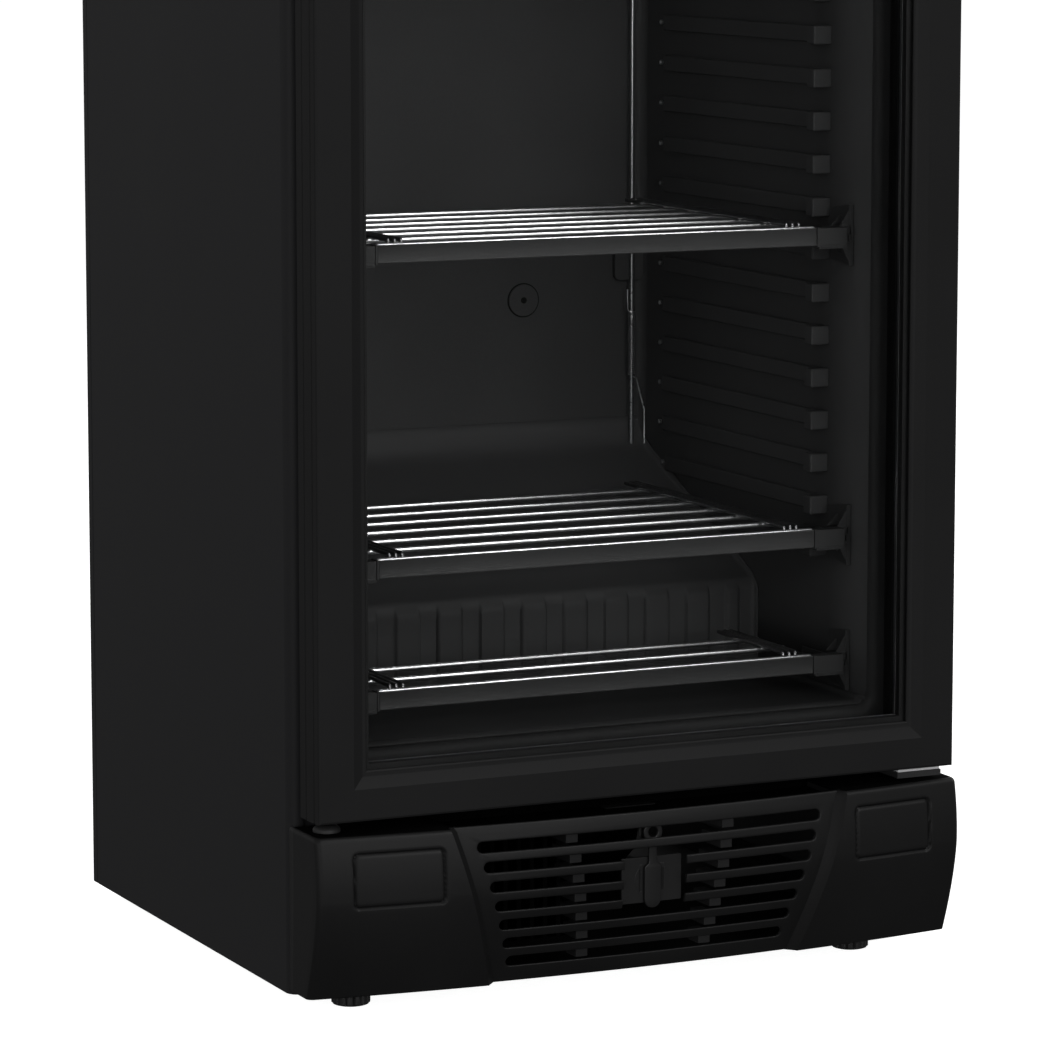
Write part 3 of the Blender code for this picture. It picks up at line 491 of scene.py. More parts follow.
def breaker():
    """Front trim round the opening, rolled into the liner."""
    low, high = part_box("breaker_frame")
    front = TRIM_FRONT
    side_flat = 0.0265
    rail_flat = 0.0375
    corner = 0.016
    section = [(0.0, 0.0, front + 0.0034), (0.0, 0.0, front), (side_flat, rail_flat, front)]
    radii = [0.001, 0.001, corner]
    for angle in (15, 30, 45, 60, 75, 90):
        turn = math.radians(angle)
        run = 0.0082 * math.sin(turn)
        section.append((side_flat + run, rail_flat + run, front + 0.0080 * (1 - math.cos(turn))))
        radii.append(corner - run * 0.5)
    section.append((side_flat + 0.0050, rail_flat + 0.0050, front + 0.0110))
    radii.append(0.013)
    bm = bmesh.new()
    add_ring(bm, high.x, low.z, high.z - 0.055, section, radii, 8)
    piece("breaker_trim", bm, TRIM, "cabinet", ["breaker_frame"])


def liner_section():
    """Plan of the tub: left wall, rear wall and right wall with rounded corners."""
    r = 0.012
    reach = REAR_WALL - r - LINER_FRONT
    points = [(-WALL_X, back(LINER_FRONT))]
    points += [(-WALL_X, back(LINER_FRONT + reach * i / 6)) for i in range(1, 6)]
    points += arc((-WALL_X + r, back(REAR_WALL - r)), r, 180, 90, 8)
    points += [(-WALL_X + r + (2 * WALL_X - 2 * r) * i / 6, back(REAR_WALL)) for i in range(1, 6)]
    points += arc((WALL_X - r, back(REAR_WALL - r)), r, 90, 0, 8)
    points += [(WALL_X, back(REAR_WALL - r - reach * i / 6)) for i in range(1, 6)]
    points += [(WALL_X, back(LINER_FRONT))]
    return points


def tub_walls():
    """The vacuum-formed tub's three walls in one sheet, which grows away from the inside."""
    bm = bmesh.new()
    lowest = 0.2190
    levels = [lowest + (CEILING - lowest) * i / 24 for i in range(25)]
    section = liner_section()
    add_sheet(bm, [[bm.verts.new((x, y, z)) for x, y in section] for z in levels])
    walls = ["liner_left_wall", "liner_right_wall", "liner_back_wall"]
    item = piece("liner_tub", bm, LINING, "cabinet", walls)
    first = item.data.polygons[0]
    middle = Vector((0, back(0.3), first.center.z))
    faces_inwards = first.normal.dot(middle - first.center) > 0
    thicken(item, 0.0018, -1.0 if faces_inwards else 1.0)


def slope_back(z):
    """Depth at which the step's sloping top reaches a height."""
    return 0.287 + (z - 0.3005) * (0.5097 - 0.287) / (0.398 - 0.3005)


def runners():
    """Moulded runners and the lowest shelf's ledge on both walls, with a stud behind each long runner."""
    for side, label in ((-1, "left"), (1, "right")):
        outer = side * (WALL_X + 0.0005)
        moulding = bmesh.new()
        studs = bmesh.new()
        for i in range(RUNNER_COUNT):
            z = RUNNER_LOWEST + i * RUNNER_PITCH
            low = z - RUNNER_HALF
            high = z + RUNNER_HALF
            rear = min(0.460, slope_back(low) - 0.005)
            add_block(moulding, (side * 0.2325, outer), (0.1425, 0.1560), (low, high))
            add_block(moulding, (side * 0.2458, outer), (0.1550, rear), (low + 0.001, high - 0.001))
            if rear > 0.44:
                outline = circle((back(rear + 0.009), z), 0.0022, 12)
                add_prism(studs, outline, "X", *sorted((side * 0.2475, side * 0.2502)))
        add_block(moulding, (side * 0.2380, outer), (0.1445, 0.176), (0.2313, 0.2436))
        name = f"liner_{label}"
        piece(name + "_runners", moulding, RUNNER, "cabinet", bevel=0.0016, segments=3)
        piece(name + "_studs", studs, STEEL, "cabinet", bevel=0.0005)


def step_profile():
    """Side view of the floor: flat, a fillet, the step's face, its rounded edge and the slope to the wall."""
    step_face = 0.276
    slope_start = 0.2833
    slope_end = 0.4880
    points = [(LINER_FRONT, FLOOR_TOP), (0.1500, FLOOR_TOP), (0.2600, FLOOR_TOP)]
    points += arc((0.268, FLOOR_TOP + 0.008), 0.008, -90, 0, 6)
    points += [(step_face, 0.250), (step_face, 0.270), (step_face, 0.286)]
    points += arc((0.288, 0.2885), 0.012, 180, 113, 8)
    for i in range(1, 7):
        y = slope_start + (slope_end - slope_start) * i / 6
        points.append((y, 0.2996 + (y - slope_start) * 0.4378))
    y, z = points[-1]
    points += [(y + 0.0100, z + 0.0053), (y + 0.0160, z + 0.0110), (y + 0.0195, z + 0.0180)]
    points += [(y + 0.0212, z + 0.0260), (y + 0.0217, z + 0.0340)]
    return points


def tub_floor():
    """Floor of the tub with the ribbed step over the machinery."""
    bm = bmesh.new()
    half = WALL_X - 0.0005
    fillet = 0.006
    xs = []
    for angle in (0, 22, 45, 68, 90):
        xs.append(-half + fillet - fillet * math.cos(math.radians(angle)))
    steps = 420
    xs += [-half + fillet + (2 * half - 2 * fillet) * i / steps for i in range(1, steps)]
    xs += [-x for x in reversed(xs[:5])]
    rows = []
    for y, z in profile_steps(step_profile()):
        forward, up = slope_share(y, z)
        row = []
        for x in xs:
            inset = abs(x) - (half - fillet)
            lift = fillet - math.sqrt(max(0.0, fillet ** 2 - max(0.0, inset) ** 2))
            push = rib_depth(x, y, z)
            row.append(bm.verts.new((x, back(y - push) - lift * forward, z + lift * up)))
        rows.append(row)
    add_sheet(bm, rows)
    # The floor's finish is painted shade overall, with painted light from the step backwards.
    item = piece("liner_base", bm, FLOOR_SHADE_AND_LIGHT, "cabinet", ["liner_floor"], sharp=60)
    thicken(item, 0.0015, -1.0)


def profile_steps(profile):
    """The profile with its long stretches divided."""
    made = [profile[0]]
    for (y0, z0), (y1, z1) in zip(profile, profile[1:]):
        length = math.hypot(y1 - y0, z1 - z0)
        parts = max(1, round(length / 0.006)) if 0.27 < y0 < 0.30 else max(1, round(length / 0.02))
        made += [(y0 + (y1 - y0) * i / parts, z0 + (z1 - z0) * i / parts) for i in range(1, parts + 1)]
    return made


def slope_share(y, z):
    """How much a side fillet lifts the surface forward and up at a point of the profile."""
    if y > 0.2745 and z < 0.292:
        return (1.0, 0.0)
    return (0.0, 1.0)


def smooth(value):
    """Soft step from 0 to 1."""
    value = min(1.0, max(0.0, value))
    return value * value * (3 - 2 * value)


def rib_depth(x, y, z):
    """Forward push of the vertical pads on the step's face."""
    if not 0.2750 < y < 0.2835:
        return 0.0
    pitch = 0.041
    turns = (x + 0.4 * pitch) / pitch
    across = abs(turns - round(turns)) * pitch
    pad = smooth((0.0120 - across) / 0.0018)
    fade = smooth((z - 0.2280) / 0.010) * smooth((0.2960 - z) / 0.010)
    edge = smooth((0.232 - abs(x)) / 0.004)
    return 0.0036 * pad * fade * edge


def tub_fittings():
    """Ceiling, plug in the rear wall and the screw heads of the step."""
    paint_node("liner_ceiling", LINING, 0.0006)
    bm = bmesh.new()
    add_prism(bm, circle(PLUG_CENTRE, 0.0150, 40), "Y", back(REAR_WALL - 0.0016), back(REAR_WALL + 0.0005))
    piece("wall_plug_disc", bm, LINING, "cabinet", ["wall_plug"], bevel=0.0004)
    # A dark ring round the plug, painted shade standing for the gap between plug and wall, and a dark dot at
    # the plug's centre.
    bm = bmesh.new()
    add_prism(bm, circle(PLUG_CENTRE, 0.0162, 48), "Y", back(REAR_WALL - 0.0006), back(REAR_WALL + 0.0005))
    add_prism(bm, circle(PLUG_CENTRE, 0.0030, 20), "Y", back(REAR_WALL - 0.0019), back(REAR_WALL - 0.0010))
    piece("wall_plug_groove_shade", bm, RUBBER_AND_SHADE, "cabinet")
    bm = bmesh.new()
    for z in (0.252, 0.266):
        add_prism(bm, circle((-0.2150, z), 0.0024, 16), "Y", back(0.2746), back(0.2765))
    piece("step_screws", bm, RUBBER_AND_SHADE, "cabinet", bevel=0.0003)


# -------------------- corner rod and spring


def corner_rod():
    """Steel rod, the coil round it with its two ends led away, and the clip beside it."""
    low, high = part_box("corner_rod")
    x = (low.x + high.x) / 2
    y = (low.y + high.y) / 2
    bm = bmesh.new()
    add_wire(bm, (x, y, low.z), (x, y, high.z), 0.0015)
    piece("corner_rod_wire", bm, STEEL, "cabinet", ["corner_rod"])
    spring_low, spring_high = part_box("rod_spring")
    turns = 32
    coil = 0.0027
    bm = bmesh.new()
    path = [(x - 0.0048, y - 0.0010, spring_high.z + 0.021), (x - 0.0046, y - 0.0008, spring_high.z + 0.010)]
    path += [(x - 0.0040, y - 0.0003, spring_high.z + 0.002)]
    steps = turns * 12
    for i in range(steps + 1):
        angle = math.pi + 2 * math.pi * i / 12
        z = spring_high.z - (spring_high.z - spring_low.z) * i / steps
        path.append((x + coil * math.cos(angle), y + coil * math.sin(angle), z))
    path += [(x + 0.0050, y - 0.0010, spring_low.z - 0.004), (x + 0.0095, y - 0.0015, spring_low.z - 0.022)]
    path += [(x + 0.0128, y - 0.0020, spring_low.z - 0.034), (x + 0.0130, y - 0.0020, spring_low.z - 0.060)]
    path += [(x + 0.0130, y - 0.0020, spring_low.z - 0.108)]
    add_tube(bm, path, 0.00065, 8)
    piece("rod_spring_coil", bm, STEEL, "cabinet", ["rod_spring"])
    low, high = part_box("rod_clip")
    bm = bmesh.new()
    add_prism(bm, rounded_rectangle(low.x, high.x, low.z, high.z, 0.006), "Y", low.y, high.y)
    piece("rod_clip_box", bm, LINING, "cabinet", ["rod_clip"], bevel=0.0010)


# -------------------- door


def door():
    """Extruded frame with its pin bores, the double glass and the seal."""
    low = DOOR_LOW.z
    high = DOOR_HIGH.z
    section = [(0.0, 0.0, 0.0395), (0.0, 0.0, 0.0283), (0.0007, 0.0007, 0.0277), (0.0007, 0.0007, 0.0266)]
    section += [(0.0, 0.0, 0.0260), (0.0, 0.0, 0.0116), (0.0009, 0.0009, 0.0110), (0.0009, 0.0009, 0.0098)]
    section += [(0.0, 0.0, 0.0092), (0.0, 0.0, 0.0022), (0.0007, 0.0007, 0.0007), (0.0022, 0.0022, 0.0)]
    section += [(0.0312, 0.0270, 0.0), (0.0318, 0.0276, 0.0003), (0.0400, 0.0362, 0.0040)]
    section += [(0.0408, 0.0370, 0.0043), (0.0434, 0.0402, 0.0044), (0.0443, 0.0413, 0.0050)]
    section += [(0.0446, 0.0417, 0.0059), (0.0360, 0.0335, 0.0059), (0.0360, 0.0335, 0.0262)]
    section += [(0.0448, 0.0420, 0.0262), (0.0448, 0.0420, 0.0290), (0.0405, 0.0375, 0.0395)]
    bm = bmesh.new()
    add_ring(bm, HALF, low, high, section)
    frame_piece = piece("door_frame_rails", bm, DOOR, "door", ["door_frame"], sharp=22)
    bm = bmesh.new()
    for z in (low, high):
        add_prism(bm, circle((0.2775, back(0.020)), 0.0060, 24), "Z", z - 0.024, z + 0.024)
    cut(frame_piece, bm, "pivot_bores", 22)
    paint_node("outer_glass", GLASS)
    paint_node("inner_glass", GLASS)
    paint_node("glass_spacer", SPACER, 0.0004)
    spacer_low, spacer_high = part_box("glass_spacer")
    section = [(0.0119, 0.0113, 0.0172), (0.0127, 0.0121, 0.0174)]
    section += [(0.0127, 0.0121, 0.0212), (0.0119, 0.0113, 0.0214)]
    bm = bmesh.new()
    add_ring(bm, spacer_high.x, spacer_low.z, spacer_high.z, section)
    piece("glass_spacer_stripe", bm, STRIPE, "door")
    gasket()


def gasket():
    """Magnetic seal with its bellows."""
    low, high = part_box("door_gasket")
    section = [(0.0020, 0.0020, 0.0403), (0.0125, 0.0125, 0.0403), (0.0128, 0.0128, 0.0440)]
    section += [(0.0098, 0.0098, 0.0465), (0.0138, 0.0138, 0.0490), (0.0148, 0.0148, 0.0530)]
    section += [(0.0148, 0.0148, 0.0610), (0.0138, 0.0138, 0.0626), (0.0010, 0.0010, 0.0626)]
    section += [(0.0, 0.0, 0.0612), (0.0, 0.0, 0.0535), (0.0012, 0.0012, 0.0495), (0.0050, 0.0050, 0.0468)]
    section += [(0.0018, 0.0018, 0.0440)]
    bm = bmesh.new()
    add_ring(bm, high.x, low.z, high.z, section)
    piece("door_gasket_seal", bm, RUBBER_AND_SHADE, "door", ["door_gasket"], bevel=0.0003)


def hinge_parts():
    """Hinge brackets, the plug of the unused hinge place and two small parts in the gap under the door: a pale
    plate that is painted light, and a clip.
    """
    paint_node("bottom_hinge_bracket", BRACKET, 0.0006)
    paint_node("top_hinge_bracket", BRACKET, 0.0006)
    low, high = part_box("hinge_hole_cap")
    centre = ((low.x + high.x) / 2, (low.y + high.y) / 2)
    radius = (high.x - low.x) / 2
    profile = [(0, low.z), (radius, low.z), (radius, low.z + 0.0018), (radius * 0.97, low.z + 0.0028)]
    profile += [(radius * 0.80, low.z + 0.0048), (radius * 0.50, high.z - 0.0006)]
    profile += [(radius * 0.2, high.z - 0.0001), (0, high.z)]
    bm = bmesh.new()
    add_lathe(bm, centre, profile, 40)
    piece("hinge_hole_plug", bm, CAP, "cabinet", ["hinge_hole_cap"])
    # Pale plate filling the gap above the hinge: painted light standing for the bright background seen through
    # the gap.
    bm = bmesh.new()
    add_block(bm, (0.2475, 0.2890), (0.0085, 0.0600), (0.1671, 0.1702))
    piece("gap_light_plate", bm, GAP_LIGHT, "cabinet", bevel=0.0008)
    bm = bmesh.new()
    add_block(bm, (-0.0180, 0.0290), (0.0400, 0.0520), (0.1526, 0.1538))
    piece("gap_clip", bm, RUBBER_AND_SHADE, "cabinet", bevel=0.0004)


# -------------------- kick panel


def kick_front(x, z):
    """Depth of the kick panel's face behind the door's face."""
    depth = x * x / 4.02 - 0.0287
    depth += 0.006 * (max(0.0, z - 0.112) / 0.048) ** 2
    depth += 0.023 * (max(0.0, 0.107 - z) / 0.085) ** 1.48
    return depth


def seam_x(z):
    """Half width of the grille at a height, where the wings begin."""
    return 0.1455 + (z - KICK_BOTTOM) * 0.292


def rectangle_distance(x, z, x0, x1, z0, z1, radius):
    """Signed distance to a rounded rectangle, negative inside."""
    dx = abs(x - (x0 + x1) / 2) - (x1 - x0) / 2 + radius
    dz = abs(z - (z0 + z1) / 2) - (z1 - z0) / 2 + radius
    return math.hypot(max(dx, 0), max(dz, 0)) + min(max(dx, dz), 0) - radius


def recess(x, z):
    """Depth of the wing's shallow panel: a groove along its outline and a slightly sunken field."""
    d = rectangle_distance(abs(x), z, 0.1917, 0.2708, 0.1000, 0.1465, 0.0055)
    groove = 0.0026 * math.exp(-((d + 0.0012) / 0.0012) ** 2)
    field = 0.0006 * smooth(-d / 0.002)
    return groove + field


def wing(node, side):
    """Moulded wing: bevelled inner edge, bowed face, rounded outer corner, side and top."""
    corner = 0.006
    shoulder = 0.0035
    lip = 0.0082
    face_end = KICK_HALF - corner
    face_steps = 105
    rows = []
    bm = bmesh.new()
    levels = [KICK_BOTTOM + (KICK_TOP - shoulder - KICK_BOTTOM) * i / 110 for i in range(111)]
    insets = [0.0] * len(levels)
    for angle in (18, 36, 54, 72, 90):
        turn = math.radians(angle)
        levels.append(KICK_TOP - shoulder + shoulder * math.sin(turn))
        insets.append(shoulder * (1 - math.cos(turn)))
    for z, inset in zip(levels, insets):
        inner = seam_x(z)
        start = kick_front(inner, z) + 0.0092
        section = [(inner - 0.0086, start + 0.0005), (inner - lip, start)]
        for share in (0.25, 0.5, 0.75):
            section.append((inner - lip * (1 - share), start - 0.0088 * share))
        for i in range(face_steps + 1):
            x = inner + (face_end - inner) * i / face_steps
            section.append((x, kick_front(x, z) + recess(x, z)))
        corner_start = kick_front(face_end, z)
        for i in range(1, 9):
            turn = math.radians(90) * i / 8
            section.append((face_end + corner * math.sin(turn), corner_start + corner * (1 - math.cos(turn))))
        corner_end = corner_start + corner
        for i in range(1, 7):
            section.append((KICK_HALF, corner_end + (KICK_REAR - corner_end) * i / 6))
        row = []
        for x, y in section:
            narrowed = x - inset * smooth((x - face_end) / corner + 0.2)
            row.append(bm.verts.new((side * narrowed, back(y + inset + 0.0003), z)))
        rows.append(row)
    add_sheet(bm, rows)
    outline = [(v.co.x, v.co.y + 0.0004) for v in rows[-1][3:-7]]
    outline += [(side * (KICK_HALF - 0.0024), back(KICK_REAR)), (outline[0][0], back(KICK_REAR))]
    item = piece(node + "_shell", bm, KICK, "cabinet", [node], sharp=40)
    thicken(item, 0.0022, -1.0)
    # The top is a near-black sheet: painted shade for the dark gap under the door.
    bm = bmesh.new()
    add_prism(bm, outline, "Z", KICK_TOP - 0.0026, KICK_TOP - 0.0006)
    piece(node + "_top", bm, SHADE, "cabinet")


def plate_mesh(outline, holes, thickness, bevel, name):
    """A flat plate with holes and rounded edges, lying in X and Z, made from a filled curve."""
    curve = bpy.data.curves.new(name, "CURVE")
    curve.dimensions = "2D"
    curve.fill_mode = "BOTH"
    curve.extrude = thickness / 2 - bevel
    curve.bevel_depth = bevel
    curve.bevel_resolution = 2
    curve.offset = -bevel
    for loop in [outline, *holes]:
        spline = curve.splines.new("POLY")
        spline.points.add(len(loop) - 1)
        for point, (x, z) in zip(spline.points, loop):
            point.co = (x, z, 0, 1)
        spline.use_cyclic_u = True
    item = add_object(name, curve)
    bpy.context.view_layer.update()
    graph = bpy.context.evaluated_depsgraph_get()
    mesh = bpy.data.meshes.new_from_object(item.evaluated_get(graph))
    bm = bmesh.new()
    bm.from_mesh(mesh)
    bpy.data.objects.remove(item, do_unlink=True)
    bpy.data.meshes.remove(mesh)
    bmesh.ops.remove_doubles(bm, verts=bm.verts, dist=1e-6)
    for vert in bm.verts:
        x, z, y = vert.co
        vert.co = (x, y, z)
    return bm


def slice_mesh(bm, axis, positions):
    """Cuts every face that crosses the given planes, so that the plate can bend."""
    normal = Vector((1, 0, 0)) if axis == "X" else Vector((0, 0, 1))
    for position in positions:
        geometry = list(bm.verts) + list(bm.edges) + list(bm.faces)
        bmesh.ops.bisect_plane(bm, geom=geometry, dist=1e-6, plane_co=normal * position, plane_no=normal)


def slot_outline(z, end):
    r = SLOT_HALF
    return arc((end - r, z), r, -90, 90, 8) + arc((-end + r, z), r, 90, 270, 8)


def grille():
    """Recessed centre panel with seven slots, a latch window and two rows of pads behind the bars."""
    bevel = 0.0013
    thickness = 0.0040
    base_x = seam_x(KICK_BOTTOM) - 0.002
    top_x = seam_x(KICK_TOP) - 0.002
    outline = [(-base_x, KICK_BOTTOM), (base_x, KICK_BOTTOM), (top_x, KICK_TOP), (-top_x, KICK_TOP)]
    holes = [slot_outline(*slot_place(i)) for i in (0, 5, 6)]
    holes.append(window_outline(0.0292))
    bm = plate_mesh(outline, holes, thickness, bevel, "grille_plate")
    slice_mesh(bm, "X", [-0.18 + 0.012 * i for i in range(31)])
    slice_mesh(bm, "Z", [KICK_BOTTOM + 0.0069 * i for i in range(1, 20)])
    for vert in bm.verts:
        x, y, z = vert.co
        if y > 0:
            y *= 1 - 0.9 * smooth((z - 0.1435) / 0.0030)
        vert.co.y = back(kick_front(x, z) + 0.009 + thickness / 2) + y
    piece("kick_grille_panel", bm, KICK, "cabinet", ["kick_grille"], sharp=50)
    bm = bmesh.new()
    for side in (-1, 1):
        for i in range(7):
            z = slot_place(i)[0]
            x = side * (0.0731 - (SLOT_TOP - z) * 0.1525) - 0.0022
            front = kick_front(x, z) + 0.0120
            add_block(bm, (x - 0.0055, x + 0.0055), (front, 0.0200), (z - 0.0030, z + 0.0075))
    piece("kick_grille_ribs", bm, RIB, "cabinet", bevel=0.0006)
    # The grille's top is near-black and set low: painted shade for the dark gap under the door.
    bm = bmesh.new()
    inner = seam_x(KICK_TOP) - 0.0025
    front = [(-inner + 2 * inner * i / 40) for i in range(41)]
    outline = [(x, back(kick_front(x, KICK_TOP) + 0.0095)) for x in front]
    outline += [(inner, back(KICK_REAR)), (-inner, back(KICK_REAR))]
    add_prism(bm, outline, "Z", KICK_TOP - 0.0090, KICK_TOP - 0.0076)
    add_block(bm, (-inner, inner), (KICK_REAR - 0.0018, KICK_REAR), (KICK_TOP - 0.0076, KICK_TOP - 0.0008))
    piece("kick_grille_top", bm, SHADE, "cabinet", bevel=0.0004)


def slot_place(i):
    """Height and half length of a slot, counted from the top."""
    return SLOT_TOP - i * SLOT_PITCH, LONGEST_SLOT - (LONGEST_SLOT - SHORTEST_SLOT) * i / 6


def window_outline(half):
    """Latch window joined with the four slots that run into it."""
    r = SLOT_HALF
    right = []
    for i in (4, 3, 2, 1):
        z, end = slot_place(i)
        start = 0.0 if i == 4 else half
        stop = 0.0 if i == 1 else half
        right += [(start, z - r)] + arc((end - r, z), r, -90, 90, 8) + [(stop, z + r)]
    return right + [(-x, z) for x, z in reversed(right[1:-1])]


def latch():
    """Plate with its round rotor housing, and the turn lever, behind the grille."""
    low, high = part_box("latch_plate")
    front = low.y - FACE_Y
    raised = (front - 0.0002, front + 0.0005)
    inlaid = (front - 0.00015, front + 0.0004)
    bm = bmesh.new()
    plate = rounded_rectangle(low.x, high.x, low.z, high.z, 0.0012)
    add_prism(bm, plate, "Y", back(front), back(front + 0.003))
    add_prism(bm, circle(ROTOR_CENTRE, 0.0140, 40), "Y", back(front + 0.002), back(0.0030))
    for side in (-1, 1):
        cheek = [(side * x, z) for x, z in arc(ROTOR_CENTRE, 0.0158, -42, 42, 16)]
        add_prism(bm, cheek, "Y", back(raised[0]), back(raised[1]))
        for heights in ((0.1096, 0.1140), (0.0870, 0.0914)):
            add_block(bm, (side * 0.0082, side * 0.0118), raised, heights)
    add_block(bm, (-0.0104, -0.0084), raised, (0.0935, 0.1075))
    piece("latch_plate_body", bm, LATCH, "cabinet", ["latch_plate"], bevel=0.0004)
    # Near-black inlaid strips beside the lever: painted shade standing for the slits in the plate.
    bm = bmesh.new()
    add_block(bm, (-0.0118, -0.0106), inlaid, (0.0905, 0.1105))
    add_block(bm, (0.0092, 0.0114), inlaid, (0.0910, 0.1100))
    piece("latch_slit_shade", bm, RUBBER_AND_SHADE, "cabinet")
    low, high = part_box("latch_lever")
    ring = 0.0088
    ring_z = high.z - ring
    stem = 0.0077
    neck = [(0.0037, 0.1165), (0.0042, 0.1148), (0.0072, 0.1130), (stem, 0.1115)]
    outline = arc((0, ring_z), ring, -65, 245, 28)
    outline += [(-x, z) for x, z in neck]
    outline += arc((0, low.z + stem), stem, 180, 360, 18)
    outline += reversed(neck)
    hole = circle((0, ring_z), 0.0044, 24)
    bm = plate_mesh(outline, [hole], high.y - low.y, 0.0008, "lever_plate")
    for vert in bm.verts:
        vert.co.y += (low.y + high.y) / 2
    piece("latch_lever_arm", bm, LATCH, "latch_lever", ["latch_lever"], sharp=50)


# -------------------- shelves


def shelf(number):
    """Cross wires with three long ties at each end, a front rail and two end brackets."""
    label = f"shelf_{number}"
    wires_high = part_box(label + "_wires")[1]
    rail_low, rail_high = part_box(label + "_front_rail")
    reach = wires_high.x
    rear = wires_high.y
    level = rail_high.z + 0.0012 - WIRE_RADIUS
    bm = bmesh.new()
    y = back(0.0912)
    while y < rear - 0.005:
        add_wire(bm, (-reach, y, level), (reach, y, level), WIRE_RADIUS)
        y += WIRE_PITCH
    ties = bmesh.new()
    z = level + WIRE_RADIUS + TIE_RADIUS
    bent = [(0.0955, z - 0.0060), (0.0955, z - 0.0022), (0.0962, z - 0.0006), (0.0978, z)]
    for x in (0.181, 0.187, 0.193):
        for side in (-1, 1):
            path = [(side * x, back(depth), height) for depth, height in bent]
            add_tube(ties, path + [(side * x, rear, z)], TIE_RADIUS, 12)
    piece(label + "_chrome", bm, CHROME, label, [label + "_wires"])
    # The ties' chrome is painted dark, as painted shade for the dark reflections they show.
    piece(label + "_ties", ties, TIE_PAINTED_DARK, label)
    front = rail_low.y - FACE_Y
    low = rail_low.z
    high = rail_high.z
    outline = [(front + 0.0003, low), (front + 0.0105, low), (front + 0.0105, low + 0.0016)]
    outline += [(front + 0.0020, low + 0.0016), (front + 0.0020, high - 0.0004), (front + 0.0016, high)]
    outline += [(front + 0.0006, high), (front + 0.0001, high - 0.0008), (front + 0.0004, high - 0.0020)]
    outline += [(front + 0.0004, low + 0.0020), (front, low + 0.0008)]
    bm = bmesh.new()
    add_prism(bm, [(back(y), z) for y, z in outline], "X", -reach, reach)
    piece(label + "_rail", bm, SHELF, label, [label + "_front_rail"], bevel=0.0003)
    for side, word in ((-1, "left"), (1, "right")):
        bracket(label, side, word, low, high)


def bracket(label, side, word, low, high):
    """End bracket: cap, arm on the runner and gusseted upright at the wall; low and high are the rail's."""
    node = f"{label}_{word}_bracket"
    box_low, box_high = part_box(node)
    front = box_low.y - FACE_Y
    rear = box_high.y - FACE_Y
    bm = bmesh.new()
    top = box_high.z
    base = box_low.z
    cap = (side * 0.2085, side * 0.2360)
    wall_end = (side * 0.2350, side * 0.2465)
    add_block(bm, (side * 0.2064, side * 0.2085), (front, front + 0.012), (low - 0.0010, high + 0.0002))
    add_block(bm, cap, (front + 0.0006, front + 0.0125), (low - 0.0030, high - 0.0006))
    lip = (side * 0.2100, side * 0.2345)
    add_block(bm, lip, (front - 0.0001, front + 0.0010), (low - 0.0016, low + 0.0006))
    add_block(bm, (side * 0.2066, side * 0.2455), (front + 0.0100, rear), (low - 0.0004, low + 0.0022))
    for x in (0.2066, 0.2250, 0.2435):
        add_block(bm, (side * x, side * (x + 0.0018)), (front + 0.0110, rear), (low + 0.0010, low + 0.0078))
    plate = [(front + 0.0125, base), (front + 0.0470, base + 0.004), (front + 0.0480, base + 0.008)]
    plate += [(front + 0.0480, top - 0.008), (front + 0.0470, top - 0.004), (front + 0.0125, top)]
    add_prism(bm, [(back(y), z) for y, z in plate], "X", *sorted((side * 0.2462, side * 0.2488)))
    add_block(bm, (side * 0.2445, side * 0.2470), (front + 0.0125, front + 0.0150), (base, top))
    braces = [(0.0130, high - 0.002, top - 0.004), (0.0300, high - 0.002, top - 0.010)]
    braces += [(0.0130, low + 0.002, base + 0.004), (0.0300, low + 0.002, base + 0.010)]
    for start, z0, z1 in braces:
        brace = [(side * 0.2350, z0), (side * 0.2465, z0), (side * 0.2465, z1), (side * 0.2445, z1)]
        add_prism(bm, brace, "Y", back(front + start), back(front + start + 0.0016))
    add_block(bm, wall_end, (front + 0.0125, front + 0.0145), (low - 0.0010, high - 0.0010))
    piece(node + "_moulding", bm, SHELF, label, [node], bevel=0.0004)


# -------------------- feet and machinery


def foot(node):
    """Fluted levelling foot on a threaded stem."""
    low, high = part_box(node)
    centre = ((low.x + high.x) / 2, (low.y + high.y) / 2)
    radius = (high.x - low.x) / 2

    def flutes(angle, height):
        if 0.0018 < height < 0.0122:
            return 1.0 - 0.11 * (0.5 + 0.5 * math.cos(angle * 14)) ** 5
        return 1.0

    profile = [(0, 0), (radius * 0.80, 0), (radius * 0.92, 0.0006), (radius * 0.96, 0.0017), (radius, 0.0020)]
    profile += [(radius, 0.0115), (radius * 0.97, 0.0121), (radius * 0.90, 0.0130), (0.0060, 0.0130)]
    profile += [(0.0058, 0.0150), (0.0036, 0.0150)]
    for i in range(12):
        z = 0.0156 + i * 0.00125
        profile += [(0.0039, z), (0.0034, z + 0.0006)]
    profile += [(0.0030, 0.0312), (0, 0.0318)]
    bm = bmesh.new()
    add_lathe(bm, centre, profile, 168, flutes)
    piece(node + "_turned", bm, FOOT, node, [node], sharp=40)


def machinery():
    """Finishes of the CAD nodes that are kept."""
    paint_node("compressor", ENAMEL, 0.002, 3)
    # Coil and tray are near-black as painted shade for the dark space behind the grille.
    paint_node("condenser_coil", FIN_SHADE)
    paint_node("condenser_fan", FAN, 0.0006)
    paint_node("evaporator_fan", FAN, 0.0006)
    paint_node("evaporator_cover", LINING, 0.0006)
    paint_node("led_lamp", LENS, 0.003, 3)
    paint_node("base_tray", TRAY_SHADE, 0.0005)
    paint_node("insulated_deck", ZINC)
    paint_node("header_fascia", DOOR, 0.0015, 3)
    paint_node("top_panel", PAINT, 0.0010)
    paint_node("back_panel", PAINT, 0.0015)


# -------------------- studio


